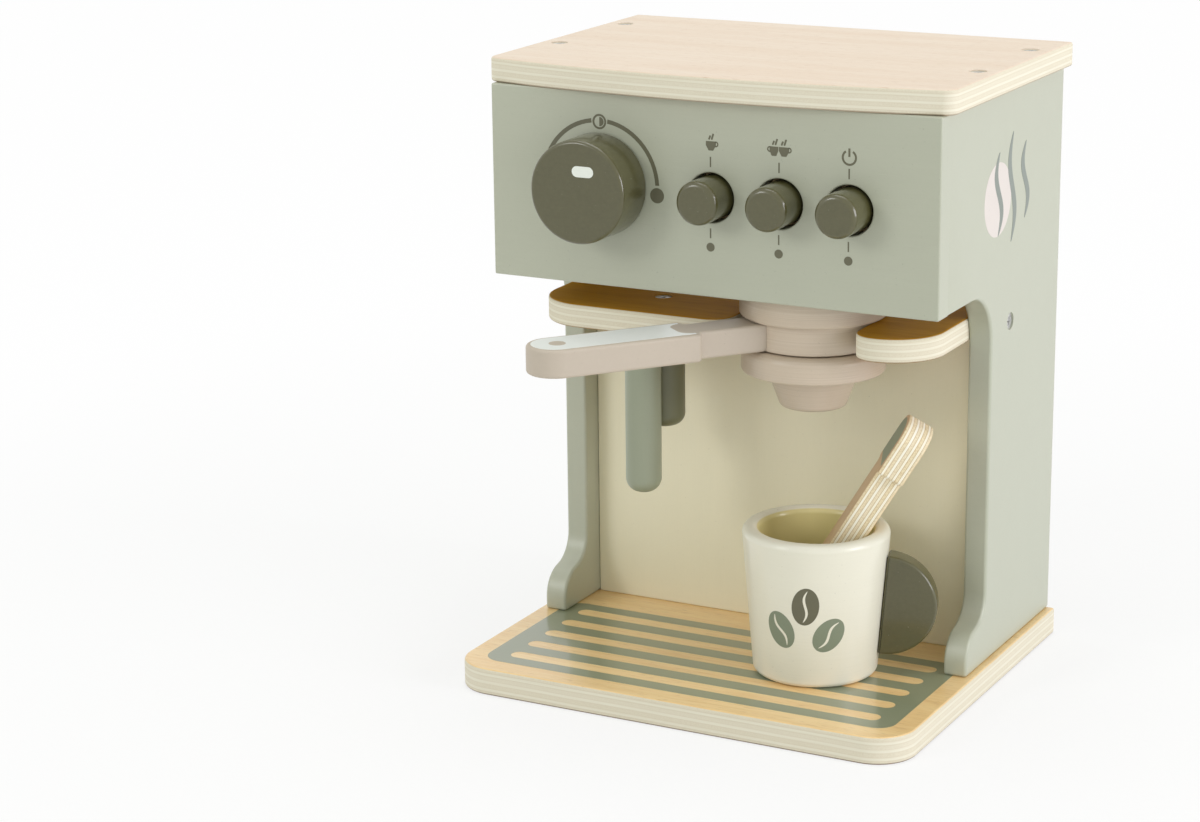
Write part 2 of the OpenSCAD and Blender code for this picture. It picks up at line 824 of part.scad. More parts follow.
// Runs outwards through the cup's wall, from inside the wall into the handle
module handle_pin_place() {
    rotate(ear_turn) translate([cup_r(ear_up) - handle_pin_in, 0, ear_up]) rotate([0, 90, 0]) children();
}

function cup_r(z) = cup_low_d / 2 + (cup_top_d - cup_low_d) / 2 * z / cup_h;

module cup_outside(grow = 0) {
    rotate_extrude()
        polygon([[0, 0], [cup_r(0) + grow, 0], [cup_r(cup_h) + grow, cup_h], [0, cup_h]]);
}

module cup_body() {
    lip = 2.6;
    inner_top = cup_top_d / 2 - cup_wall;
    inner_low = inner_top - cup_taper;
    inner_edge = 3;
    color(cream) translate([cup_x, cup_y, cup_z]) difference() {
        rotate_extrude()
            polygon(concat(
                [[0, 0]],
                arc([cup_r(cup_foot_r) - cup_foot_r, cup_foot_r], cup_foot_r, -90, -5),
                arc([cup_r(cup_h) - lip - 0.2, cup_h - lip], lip, 5, 90),
                arc([inner_top + lip, cup_h - lip], lip, 90, 180),
                arc([inner_low - inner_edge, cup_floor + inner_edge], inner_edge, 0, -90),
                [[0, cup_floor]]));
        handle_pin_place() cylinder(d = pin_d + 2 * pin_gap, h = 2 * handle_pin_in);
    }
}

module cup_handle() {
    color(olive) translate([cup_x, cup_y, cup_z]) difference() {
        rotate(ear_turn) translate([ear_set, -ear_t / 2, ear_up]) rod_y(ear_d, ear_t);
        cup_outside(pin_gap);
        handle_pin_place() cylinder(d = pin_d + 2 * pin_gap, h = handle_pin_len + pin_gap);
    }
}

module cup_handle_pin() {
    color(birch) translate([cup_x, cup_y, cup_z]) handle_pin_place()
        translate([0, 0, pin_gap]) cylinder(d = pin_d, h = handle_pin_len - pin_gap);
}

// Outline of the spoon, bowl end at the origin, grip end at +y
module spoon_outline() {
    bowl = spoon_bowl_d / 2;
    half = spoon_shank_w / 2;
    step_r = 1.5;
    // The hollow curve touches the bowl's circle and the shank's side
    flare = [half + spoon_flare_r, bowl + sqrt(pow(bowl + spoon_flare_r, 2) - pow(half + spoon_flare_r, 2))];
    touch = [0, bowl] + (flare - [0, bowl]) * bowl / (bowl + spoon_flare_r);
    translate([0, bowl]) circle(bowl);
    translate([-half, bowl]) square([2 * half, spoon_len - bowl - spoon_grip_len + step_r]);
    for (s = [0, 1])
        mirror([s, 0]) difference() {
            polygon([[0, bowl], touch, flare, [half, flare[1]], [0, flare[1]]]);
            translate(flare) circle(spoon_flare_r);
        }
    translate([0, spoon_len - spoon_grip_len]) grip_outline(half, step_r);
}

// Grip end of the spoon, its step at the origin, rising along +y
module grip_outline(shank_half, step_r) {
    wide = spoon_grip_w / 2;
    tip_r = spoon_tip_r;
    translate([-wide, step_r]) square([2 * wide, spoon_grip_len - step_r - tip_r]);
    translate([step_r - wide, 0]) square([2 * (wide - step_r), spoon_grip_len - tip_r]);
    translate([tip_r - wide, 0]) square([2 * (wide - tip_r), spoon_grip_len]);
    for (s = [-1, 1]) {
        translate([s * (wide - step_r), step_r]) circle(step_r);
        translate([s * (wide - tip_r), spoon_grip_len - tip_r]) circle(tip_r);
        translate([s * shank_half, 0]) rotate(s < 0 ? 180 : 270) corner_fill(step_r);
    }
}

module spoon() {
    // The lower edge stands on the cup's floor and the shank leans on the rim
    foot_up = cup_floor + slide_gap + spoon_t / 2 * sin(spoon_lean);
    color(birch) translate([cup_x, cup_y, cup_z]) rotate(spoon_turn) translate([-spoon_reach, 0, foot_up])
        rotate([0, spoon_lean, 0]) rotate(spoon_roll) translate([-spoon_t / 2, 0, 0])
            rotate([90, 0, 90]) linear_extrude(spoon_t) spoon_outline();
}

base_board();
side_panel_left();
side_panel_right();
front_panel();
back_panel();
top_board();
shelf();
steam_wand();
wand_pin();
water_spout();
spout_screw();
top_screws();
side_screws();
base_screws();
panel_pins();
spring_rail();
click_block();
click_spring();
click_screw();
dial_knob();
dial_axle();
click_wheel();
dial_screw();
button_single();
button_double();
button_power();
button_stem_single();
button_stem_double();
button_stem_power();
button_collar_single();
button_collar_double();
button_collar_power();
button_spring_single();
button_spring_double();
button_spring_power();
filter_cup();
filter_neck();
filter_lever();
lever_pin();
filter_flange();
filter_nozzle();
filter_screw();
cup_body();
cup_handle();
cup_handle_pin();
spoon();
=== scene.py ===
"""Looks of a wooden toy coffee maker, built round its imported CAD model.

The boards are softened, the turned pieces are spun from rounded profiles, the prints are thin layers of
paint, and every finish is a procedural material. All lengths are in metres unless a name says otherwise.
"""

import json
import logging
import math
from dataclasses import dataclass, field
from enum import Enum
from typing import Callable, Iterable, Optional, Sequence

import bmesh
import bpy
from bmesh.types import BMEdge, BMesh, BMFace, BMVert
from mathutils import Matrix, Vector

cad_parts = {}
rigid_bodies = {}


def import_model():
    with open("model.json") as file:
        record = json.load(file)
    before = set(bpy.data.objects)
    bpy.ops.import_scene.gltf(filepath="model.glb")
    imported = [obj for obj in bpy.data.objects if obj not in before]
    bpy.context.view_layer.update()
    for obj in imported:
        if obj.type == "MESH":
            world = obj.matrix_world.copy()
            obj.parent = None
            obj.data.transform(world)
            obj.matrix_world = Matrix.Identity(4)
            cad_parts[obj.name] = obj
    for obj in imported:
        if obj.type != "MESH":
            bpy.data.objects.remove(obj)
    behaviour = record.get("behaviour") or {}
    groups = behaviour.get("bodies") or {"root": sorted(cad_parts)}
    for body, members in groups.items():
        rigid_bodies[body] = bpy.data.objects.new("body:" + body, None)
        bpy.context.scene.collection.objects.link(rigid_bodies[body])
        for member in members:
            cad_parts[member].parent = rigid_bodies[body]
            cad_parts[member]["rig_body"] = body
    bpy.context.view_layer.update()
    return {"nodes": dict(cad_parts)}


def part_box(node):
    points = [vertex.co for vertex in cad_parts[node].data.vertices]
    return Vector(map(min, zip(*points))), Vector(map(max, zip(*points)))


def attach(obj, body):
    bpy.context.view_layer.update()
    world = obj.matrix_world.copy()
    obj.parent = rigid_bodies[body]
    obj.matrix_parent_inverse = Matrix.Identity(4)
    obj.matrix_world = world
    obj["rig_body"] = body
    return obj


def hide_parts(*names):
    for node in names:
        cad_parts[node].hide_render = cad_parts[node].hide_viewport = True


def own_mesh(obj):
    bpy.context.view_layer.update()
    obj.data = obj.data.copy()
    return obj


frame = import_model()

LOG = logging.getLogger("coffee_maker")

MM = 0.001
MERGE = 1e-6
FLAT = math.radians(0.5)
SHARP = math.radians(25)
CREASE = math.radians(38)
FULL_TURN = 2 * math.pi

Colour = tuple[float, float, float]
Point = tuple[float, float]
Sockets = dict[str, bpy.types.NodeSocket]


# ---------------------------------------------------------------- mesh tools


class Axis(Enum):
    """Which way a turned piece's axis runs, as the turn that brings +Z there."""

    UP = (0.0, "X")
    DOWN = (math.pi, "X")
    BACK = (-math.pi / 2, "X")
    RIGHT = (math.pi / 2, "Y")
    LEFT = (-math.pi / 2, "Y")

    def turn(self) -> Matrix:
        """Returns the matrix that turns +Z to this direction."""
        angle, about = self.value
        return Matrix.Rotation(angle, 4, about)


@dataclass(frozen=True)
class Corner:
    """A corner of a turned profile: distance from the axis, place along it and its rounding."""

    out: float
    along: float
    radius: float = 0.0
    segments: int = 5


@dataclass(frozen=True)
class Bounds:
    """The box of one solid."""

    low: Vector
    high: Vector

    @property
    def middle(self) -> Vector:
        """Centre of the box."""
        return (self.low + self.high) / 2

    @property
    def size(self) -> Vector:
        """Lengths of the box's sides."""
        return self.high - self.low


def box_of(node: str) -> Bounds:
    """Returns the box of a CAD node at rest."""
    return Bounds(*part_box(node))


def body_of(node: str) -> str:
    """Returns the name of the CAD body that a node rides on."""
    return frame["nodes"][node]["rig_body"]


def node_copy(node: str) -> BMesh:
    """Copies a CAD node's mesh, merged, with each flat face in one piece.

    Args:
        node: Name of the CAD node.

    Returns:
        The copy.
    """
    shape = bmesh.new()
    shape.from_mesh(frame["nodes"][node].data)
    bmesh.ops.remove_doubles(shape, verts=shape.verts, dist=MERGE)
    bmesh.ops.dissolve_limit(shape, angle_limit=FLAT, verts=shape.verts, edges=shape.edges, delimit=set())
    return shape


def solids_in(node: str) -> list[Bounds]:
    """Finds the separate solids of a CAD node.

    Args:
        node: Name of the CAD node.

    Returns:
        The box of each solid.
    """
    shape = node_copy(node)
    waiting = set(shape.verts)
    found = []
    while waiting:
        front = [waiting.pop()]
        solid = []
        while front:
            vert = front.pop()
            solid.append(vert.co.copy())
            near = [edge.other_vert(vert) for edge in vert.link_edges]
            near = [other for other in near if other in waiting]
            waiting.difference_update(near)
            front.extend(near)
        low = Vector(min(co[i] for co in solid) for i in range(3))
        high = Vector(max(co[i] for co in solid) for i in range(3))
        found.append(Bounds(low, high))
    shape.free()
    return sorted(found, key=lambda b: tuple(b.middle))


def sharp_edges(shape: BMesh, wanted: Callable[[BMEdge], bool]) -> list[BMEdge]:
    """Lists the edges of a mesh that turn sharply and pass a test.

    Args:
        shape: The mesh.
        wanted: Says which of the sharp edges are wanted.

    Returns:
        The edges.
    """
    joined = (edge for edge in shape.edges if len(edge.link_faces) == 2)
    return [edge for edge in joined if edge.calc_face_angle(0) > SHARP and wanted(edge)]


def soften(shape: BMesh, radius: float, wanted: Callable[[BMEdge], bool], segments: int = 3) -> None:
    """Rounds the sharp edges of a mesh.

    Args:
        shape: The mesh.
        radius: Radius of the rounding on a square edge.
        wanted: Says which sharp edges are rounded.
        segments: Steps across the rounding.
    """
    bmesh.ops.bevel(
        shape, geom=sharp_edges(shape, wanted), affect="EDGES", offset=radius, segments=segments,
        profile=0.5, material=-1, clamp_overlap=False)


def round_corner(shape: BMesh, vert: BMVert, radius: float, segments: int) -> None:
    """Rounds a corner where two edges of a flat outline meet.

    Args:
        shape: The mesh.
        vert: The corner.
        radius: Radius of the arc that takes its place.
        segments: Steps of that arc.
    """
    if radius <= 0:
        return
    first, second = (edge.other_vert(vert).co - vert.co for edge in vert.link_edges)
    reach = radius / math.tan(first.angle(second) / 2)
    bmesh.ops.bevel(
        shape, geom=[vert], affect="VERTICES", offset=reach, offset_type="OFFSET", segments=segments,
        profile=0.5, material=-1)


def turned(corners: Sequence[Corner], centre: Vector, axis: Axis = Axis.UP, steps: int = 128) -> BMesh:
    """Spins a profile of rounded corners into a turned piece.

    Args:
        corners: The profile, from one end to the other.
        centre: Where the profile's zero point lies.
        axis: Direction of the profile's own length.
        steps: Steps round the piece.

    Returns:
        The mesh.
    """
    shape = bmesh.new()
    verts = [shape.verts.new((corner.out, 0, corner.along)) for corner in corners]
    for first, second in zip(verts, verts[1:]):
        shape.edges.new((first, second))
    for vert, corner in zip(verts, corners):
        round_corner(shape, vert, corner.radius, corner.segments)
    bmesh.ops.spin(
        shape, geom=shape.verts[:] + shape.edges[:], cent=(0, 0, 0), axis=(0, 0, 1), dvec=(0, 0, 0),
        angle=FULL_TURN, steps=steps, use_merge=True, use_duplicate=False)
    bmesh.ops.remove_doubles(shape, verts=shape.verts, dist=MERGE)
    bmesh.ops.transform(shape, matrix=Matrix.Translation(centre) @ axis.turn(), verts=shape.verts)
    return shape


def publish(
    shape: BMesh, name: str, body: str, finish: "Finish", stands_for: Iterable[str] = (),
) -> bpy.types.Object:
    """Makes a finished piece of a mesh and hands it to the frame.

    Args:
        shape: The mesh, which is used up.
        name: Name of the piece.
        body: CAD body that it rides on.
        finish: Its finish.
        stands_for: CAD nodes that it takes the place of.

    Returns:
        The piece.
    """
    bmesh.ops.recalc_face_normals(shape, faces=shape.faces)
    open_edges = sum(1 for edge in shape.edges if len(edge.link_faces) != 2)
    mesh = bpy.data.meshes.new(name)
    shape.to_mesh(mesh)
    shape.free()
    mesh.materials.append(finish.material())
    mesh.shade_smooth()
    mesh.set_sharp_from_angle(angle=CREASE)
    piece = bpy.data.objects.new(name, mesh)
    bpy.context.scene.collection.objects.link(piece)
    shading = piece.modifiers.new("EvenShading", "WEIGHTED_NORMAL")
    shading.keep_sharp = True
    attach(piece, body)
    nodes = list(stands_for)
    if nodes:
        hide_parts(*nodes)
    LOG.info("%s: %d faces, %d open edges", name, len(mesh.polygons), open_edges)
    return piece


def turn_plug(
    node: str, suffix: str, finish: "Finish", front: tuple[float, int], rear: tuple[float, int], steps: int,
) -> None:
    """Turns a round piece that lies along Y, to the size of its CAD node.

    Args:
        node: Its CAD node.
        suffix: What its name has after the node's.
        finish: Its finish.
        front: Radius of its front edge, and the steps of that rounding.
        rear: The same for its rear edge.
        steps: Steps round the piece.
    """
    box = box_of(node)
    radius, length = box.size.x / 2, box.size.y
    profile = [Corner(0, 0), Corner(radius, 0, *front), Corner(radius, length, *rear), Corner(0, length)]
    shape = turned(profile, Vector((box.middle.x, box.low.y, box.middle.z)), Axis.BACK, steps)
    publish(shape, node + suffix, body_of(node), finish, [node])


# ---------------------------------------------------------------- shader tools


def linear(colour: Colour) -> tuple[float, float, float, float]:
    """Turns a colour into linear values.

    Args:
        colour: Red, green and blue as 0 to 255 screen values.

    Returns:
        Linear red, green and blue from 0 to 1, and an alpha of 1.
    """
    parts = (part / 255 for part in colour)
    done = [part / 12.92 if part <= 0.04045 else ((part + 0.055) / 1.055) ** 2.4 for part in parts]
    return (*done, 1.0)


class Graph:
    """Places and links the nodes of one material or node group."""

    def __init__(self, tree: bpy.types.NodeTree) -> None:
        """Keeps the tree that the nodes go into."""
        self.tree = tree

    def node(self, kind: str, **settings: object) -> bpy.types.Node:
        """Adds a node and sets its options.

        Args:
            kind: Blender's name for the kind of node.
            settings: Its options, by name.

        Returns:
            The node.
        """
        made = self.tree.nodes.new(kind)
        for name, value in settings.items():
            setattr(made, name, value)
        return made

    def feed(self, socket: bpy.types.NodeSocket, value: object) -> None:
        """Links a socket into another, or sets its value.

        Args:
            socket: The socket that is fed.
            value: A socket, a plain value, or None to leave it as it is.
        """
        if isinstance(value, bpy.types.NodeSocket):
            self.tree.links.new(value, socket)
        elif value is not None:
            socket.default_value = value

    def math(self, operation: str, *values: object, clamp: bool = False) -> bpy.types.NodeSocket:
        """Adds a Math node.

        Args:
            operation: What it works out.
            values: What feeds its inputs, in order.
            clamp: Whether its result is kept from 0 to 1.

        Returns:
            Its output.
        """
        made = self.node("ShaderNodeMath", operation=operation, use_clamp=clamp)
        for socket, value in zip(made.inputs, values):
            self.feed(socket, value)
        return made.outputs[0]

    def vector(self, operation: str, *values: object) -> bpy.types.NodeSocket:
        """Adds a Vector Math node.

        Args:
            operation: What it works out.
            values: What feeds its inputs, in order.

        Returns:
            Its output, which is a plain value for a length.
        """
        made = self.node("ShaderNodeVectorMath", operation=operation)
        for socket, value in zip(made.inputs, values):
            self.feed(socket, value)
        return made.outputs["Value" if operation == "LENGTH" else "Vector"]

    def split(self, vector: object) -> Sequence[bpy.types.NodeSocket]:
        """Takes a vector apart.

        Args:
            vector: The vector.

        Returns:
            The outputs for its X, Y and Z.
        """
        made = self.node("ShaderNodeSeparateXYZ")
        self.feed(made.inputs[0], vector)
        return made.outputs

    def join(self, *parts: object) -> bpy.types.NodeSocket:
        """Makes a vector of three values.

        Args:
            parts: What feeds its X, Y and Z.

        Returns:
            The vector socket.
        """
        made = self.node("ShaderNodeCombineXYZ")
        for socket, value in zip(made.inputs, parts):
            self.feed(socket, value)
        return made.outputs[0]

    def noise(
        self, vector: object, scale: object, detail: float = 3, roughness: float = 0.5, warp: float = 0,
    ) -> bpy.types.NodeSocket:
        """Adds a noise texture.

        Args:
            vector: Where it is read.
            scale: How often it changes in a unit of that vector.
            detail: How many finer noises are added to it.
            roughness: How strong the finer ones are.
            warp: How much it is distorted.

        Returns:
            Its value from 0 to 1.
        """
        made = self.node("ShaderNodeTexNoise")
        self.feed(made.inputs["Vector"], vector)
        self.feed(made.inputs["Scale"], scale)
        made.inputs["Detail"].default_value = detail
        made.inputs["Roughness"].default_value = roughness
        made.inputs["Distortion"].default_value = warp
        return made.outputs[0]

    def ease(
        self, value: object, low: object, high: object, out_low: object = 0.0, out_high: object = 1.0,
    ) -> bpy.types.NodeSocket:
        """Leads smoothly from one value to another.

        Args:
            value: What it follows.
            low: Where the change starts.
            high: Where it ends.
            out_low: Result below the start.
            out_high: Result past the end.

        Returns:
            The result.
        """
        made = self.node("ShaderNodeMapRange", interpolation_type="SMOOTHSTEP")
        for socket, given in zip(made.inputs, (value, low, high, out_low, out_high)):
            self.feed(socket, given)
        return made.outputs[0]

    def blend(self, factor: object, first: object, second: object) -> bpy.types.NodeSocket:
        """Mixes two colours.

        Args:
            factor: Share of the second colour.
            first: The first colour.
            second: The second colour.

        Returns:
            The mixed colour.
        """
        made = self.node("ShaderNodeMix", data_type="RGBA")
        self.feed(made.inputs[0], factor)
        self.feed(made.inputs[6], first)
        self.feed(made.inputs[7], second)
        return made.outputs[2]

    def place(self, location: Sequence[float], turn: Sequence[float] = (0, 0, 0)) -> bpy.types.NodeSocket:
        """Object coordinates, measured from a place and along turned axes.

        Args:
            location: The new zero point.
            turn: The new axes' turn, as XYZ Euler angles.

        Returns:
            The vector socket.
        """
        source = self.node("ShaderNodeTexCoord")
        made = self.node("ShaderNodeMapping", vector_type="TEXTURE")
        self.tree.links.new(source.outputs["Object"], made.inputs["Vector"])
        made.inputs["Location"].default_value = location
        made.inputs["Rotation"].default_value = turn
        return made.outputs[0]

    def use(self, group: bpy.types.NodeTree, **values: object) -> bpy.types.Node:
        """Places a node group and feeds its inputs.

        Args:
            group: The group.
            values: What feeds each input, by name, where _ stands for a space.

        Returns:
            The group's node.
        """
        made = self.node("ShaderNodeGroup", node_tree=group)
        for name, value in values.items():
            self.feed(made.inputs[name.replace("_", " ")], value)
        return made


SOCKETS = {"float": "NodeSocketFloat", "vector": "NodeSocketVector", "colour": "NodeSocketColor"}

# How often a pattern in wood changes in a metre, along the grain and in the two directions across it
BROAD_STREAKS = (7, 90, 90)
FINE_FIBRES = (60, 1500, 1500)
OPEN_PORES = (170, 2300, 2300)

# The same on a sawn plywood edge, in the board's plane and through its thickness
SAW_LINES = (22, 22, 5200)
END_GRAIN = (1500, 1500, 1900)

# How far a layer of plywood wanders up and down, and the brown of its dark lower edge, which is partly laser
# burn and partly painted contact shade
LAYER_SWAY = 0.6 * MM
BURN_AND_SHADE_BROWN: Colour = (104, 70, 40)


def node_group(
    name: str, inputs: dict[str, str], outputs: dict[str, str],
    build: Callable[[Graph, Sockets], Sockets],
) -> bpy.types.NodeTree:
    """Builds a node group once, or finds it.

    Args:
        name: Name of the group.
        inputs: Kind of each input, by name.
        outputs: Kind of each output, by name.
        build: Makes the nodes from the inputs and returns what feeds each output.

    Returns:
        The group.
    """
    known = bpy.data.node_groups.get(name)
    if known:
        return known
    tree = bpy.data.node_groups.new(name, "ShaderNodeTree")
    for label, kind in inputs.items():
        tree.interface.new_socket(label, in_out="INPUT", socket_type=SOCKETS[kind])
    for label, kind in outputs.items():
        tree.interface.new_socket(label, in_out="OUTPUT", socket_type=SOCKETS[kind])
    graph = Graph(tree)
    entry = graph.node("NodeGroupInput")
    leaving = graph.node("NodeGroupOutput")
    results = build(graph, {label: entry.outputs[label] for label in inputs})
    for label in outputs:
        graph.feed(leaving.inputs[label], results[label])
    return tree


def grain_group() -> bpy.types.NodeTree:
    """Wood grain that runs along X: broad streaks, fine fibres and short open pores.

    Returns:
        The group.
    """

    def build(graph: Graph, given: Sockets) -> Sockets:
        """Makes the group's nodes.

        Args:
            graph: The group's nodes.
            given: Its inputs.

        Returns:
            What feeds each of its outputs.
        """
        broad = graph.noise(graph.vector("MULTIPLY", given["Vector"], BROAD_STREAKS), 1.0, 4, 0.6, 0.4)
        fibre = graph.noise(graph.vector("MULTIPLY", given["Vector"], FINE_FIBRES), 1.0, 2, 0.5)
        pore = graph.noise(graph.vector("MULTIPLY", given["Vector"], OPEN_PORES), 1.0, 1, 0.4)
        pores = graph.ease(pore, 0.64, 0.72)
        streaks = graph.math("ADD", graph.math("MULTIPLY", broad, 0.6), graph.math("MULTIPLY", fibre, 0.4))
        height = graph.math("SUBTRACT", fibre, graph.math("MULTIPLY", pores, 0.8))
        return {"Streaks": streaks, "Pores": pores, "Height": height}

    return node_group(
        "WoodGrain", {"Vector": "vector"}, {"Streaks": "float", "Pores": "float", "Height": "float"}, build)


def layers_group() -> bpy.types.NodeTree:
    """Plywood: face veneer outside, cross-laid layers with thin glue lines, painted shade on the veneer of
    the lower face, and a dark lower edge that is partly laser burn and partly painted contact shade.

    The vector's Z runs through the board from its lower face, and X along the face grain.

    Returns:
        The group.
    """

    def build(graph: Graph, given: Sockets) -> Sockets:
        """Makes the group's nodes.

        Args:
            graph: The group's nodes.
            given: Its inputs.

        Returns:
            What feeds each of its outputs.
        """
        vector = given["Vector"]
        grain = graph.use(grain_group(), Vector=vector)
        x, y, z = graph.split(vector)
        sway = graph.math("SUBTRACT", graph.noise(graph.join(x, y, 0.0), 26, 2, 0.5), 0.5)
        depth = graph.math("DIVIDE", graph.math("ADD", z, graph.math("MULTIPLY", sway, LAYER_SWAY)),
                           given["Thickness"])
        count = graph.math("MULTIPLY", depth, given["Layers"])
        within = graph.math("FRACT", count)
        number = graph.math("FLOOR", count)
        crossing = graph.math("SUBTRACT", 1.0, graph.math("MODULO", number, 2.0))
        per_layer = graph.noise(graph.join(number, 0.37, 0.0), 3.1, 0)
        lines = graph.noise(graph.vector("MULTIPLY", vector, SAW_LINES), 1.0, 3, 0.6)
        ends = graph.noise(graph.vector("MULTIPLY", vector, END_GRAIN), 1.0, 2, 0.6)
        edge = graph.math("MINIMUM", within, graph.math("SUBTRACT", 1.0, within))
        core = graph.math("MULTIPLY", graph.ease(edge, 0.08, 0.3), graph.ease(lines, 0.36, 0.7, 1.0, 0.3))
        along = graph.blend(core, given["Middle"], given["Light"])
        across = graph.blend(graph.ease(ends, 0.38, 0.68), given["Middle"], given["Dark"])
        cut = graph.blend(crossing, along, across)
        cut = graph.blend(graph.ease(per_layer, 0.3, 0.75, 0.0, 0.3), cut, given["Light"])
        glue = graph.ease(edge, 0.0, 0.1, given["Glue share"], 0.0)
        cut = graph.blend(glue, cut, given["Glue"])
        streak = graph.ease(grain.outputs["Streaks"], 0.35, 0.65)
        face = graph.blend(streak, given["Face"], given["Face dark"])
        face = graph.blend(graph.math("MULTIPLY", grain.outputs["Pores"], 0.35), face, given["Glue"])
        # Painted shade: the face veneer within one to two millimetres of the lower face is browned towards
        # the glue colour, as if in shadow
        under = graph.ease(z, 1 * MM, 2 * MM, 0.45, 0.0)
        face = graph.blend(under, face, given["Glue"])
        outer = graph.math("MINIMUM", z, graph.math("SUBTRACT", given["Thickness"], z))
        veneer = graph.ease(outer, 0.2 * MM, 0.5 * MM, 1.0, 0.0)
        height = graph.math("ADD", graph.math("MULTIPLY", grain.outputs["Height"], 0.5),
                            graph.math("MULTIPLY", ends, graph.math("SUBTRACT", 1.0, veneer)))
        rough = graph.math("ADD", graph.math("MULTIPLY", grain.outputs["Streaks"], 0.08),
                           graph.math("MULTIPLY", graph.math("SUBTRACT", 1.0, veneer), 0.2))
        # A dark line along the lower edge: partly laser burn, partly painted contact shade
        burn_and_shade_edge = graph.math("MULTIPLY", graph.ease(z, 0.02 * MM, 0.1 * MM),
                              graph.ease(z, 0.5 * MM, 0.9 * MM, given["Scorch"], 0.0))
        colour = graph.blend(burn_and_shade_edge, graph.blend(veneer, cut, face), linear(BURN_AND_SHADE_BROWN))
        return {"Color": colour, "Rough": rough, "Height": height, "Veneer": veneer}

    tones = ("Face", "Face dark", "Light", "Middle", "Dark", "Glue")
    return node_group(
        "PlywoodLayers",
        {"Vector": "vector", "Thickness": "float", "Layers": "float", "Glue share": "float",
         "Scorch": "float", **dict.fromkeys(tones, "colour")},
        {"Color": "colour", "Rough": "float", "Height": "float", "Veneer": "float"}, build)


def paint_group() -> bpy.types.NodeTree:
    """A sprayed coat on wood: the grain shows faintly through it, with tiny specks and soft clouds.

    Returns:
        The group.
    """

    def build(graph: Graph, given: Sockets) -> Sockets:
        """Makes the group's nodes.

        Args:
            graph: The group's nodes.
            given: Its inputs.

        Returns:
            What feeds each of its outputs.
        """
        vector = given["Vector"]
        grain = graph.use(grain_group(), Vector=vector)
        cloud = graph.noise(vector, 14, 3, 0.55)
        speck = graph.ease(graph.noise(vector, 900, 2, 0.6), 0.7, 0.76)
        fine = graph.math("SUBTRACT", graph.noise(vector, 620, 3, 0.7), 0.5)
        tone = graph.math("ADD", graph.math("MULTIPLY", graph.math("SUBTRACT", cloud, 0.5), 0.5),
                          graph.math("SUBTRACT", grain.outputs["Streaks"], 0.5))
        tone = graph.math("ADD", tone, graph.math("MULTIPLY", fine, given["Mottle"]))
        tone = graph.math("ADD", graph.math("MULTIPLY", tone, given["Variation"]), 0.5)
        colour = graph.blend(tone, given["Shade"], given["Tint"])
        colour = graph.blend(graph.math("MULTIPLY", speck, 0.25), colour, given["Speck"])
        orange_peel = graph.noise(vector, 1300, 2, 0.5)
        height = graph.math("ADD", graph.math("MULTIPLY", grain.outputs["Height"], given["Grain"]),
                            graph.math("MULTIPLY", orange_peel, 0.25))
        rough = graph.math("MULTIPLY", graph.math("SUBTRACT", cloud, 0.5), 0.12)
        return {"Color": colour, "Rough": rough, "Height": height}

    return node_group(
        "PaintCoat",
        {"Vector": "vector", "Shade": "colour", "Tint": "colour", "Speck": "colour", "Variation": "float",
         "Grain": "float", "Mottle": "float"},
        {"Color": "colour", "Rough": "float", "Height": "float"}, build)


def lathe_group() -> bpy.types.NodeTree:
    """Fine rings that a lathe leaves, for a vector whose Z is the turned piece's axis.

    Returns:
        The group.
    """

    def build(graph: Graph, given: Sockets) -> Sockets:
        """Makes the group's nodes.

        Args:
            graph: The group's nodes.
            given: Its inputs.

        Returns:
            What feeds each of its outputs.
        """
        x, y, z = graph.split(given["Vector"])
        out = graph.vector("LENGTH", graph.join(x, y, 0.0))
        rings = graph.noise(graph.join(out, z, 0.0), 1900, 2, 0.7)
        wander = graph.noise(given["Vector"], 60, 2, 0.5)
        mask = graph.ease(wander, 0.35, 0.65, 0.35, 1.0)
        return {"Rings": graph.math("MULTIPLY", graph.math("SUBTRACT", rings, 0.5), mask)}

    return node_group("LatheRings", {"Vector": "vector"}, {"Rings": "float"}, build)


# ---------------------------------------------------------------- finishes

# Real depth of the texture of paint, bare wood, plywood and metal
PEEL_DEPTH = 0.05 * MM
GRAIN_DEPTH = 0.08 * MM
PLY_DEPTH = 0.06 * MM
METAL_DEPTH = 0.02 * MM


@dataclass(frozen=True)
class Finish:
    """What every finish has: its name and the record's slot."""

    name: str
    slot: str

    def material(self) -> bpy.types.Material:
        """Makes the finish's material at its first use, or finds it.

        Returns:
            The material.
        """
        known = bpy.data.materials.get(self.name)
        if known:
            return known
        made = bpy.data.materials.new(self.name)
        made.use_nodes = True
        graph = Graph(made.node_tree)
        self.paint(graph, made.node_tree.nodes["Principled BSDF"])
        return made

    def paint(self, graph: Graph, shader: bpy.types.Node) -> None:
        """Feeds the shader of the finish's material, and is written by each kind of finish."""
        raise NotImplementedError

    @staticmethod
    def relief(graph: Graph, shader: bpy.types.Node, height: object, depth: float, strength: float) -> None:
        """Feeds the shader's normal from a height.

        Args:
            graph: The material's nodes.
            shader: Its shader.
            height: Height from 0 to 1.
            depth: Real depth of that height.
            strength: Share of the effect.
        """
        bump = graph.node("ShaderNodeBump")
        bump.inputs["Strength"].default_value = strength
        bump.inputs["Distance"].default_value = depth
        graph.feed(bump.inputs["Height"], height)
        graph.feed(shader.inputs["Normal"], bump.outputs[0])


def lighter(colour: Colour, share: float) -> Colour:
    """Moves a colour towards white or black.

    Args:
        colour: The colour.
        share: Share of the way to white, or to black where it is negative.

    Returns:
        The moved colour.
    """
    goal = 255 if share > 0 else 0
    return tuple(part + (goal - part) * abs(share) for part in colour)


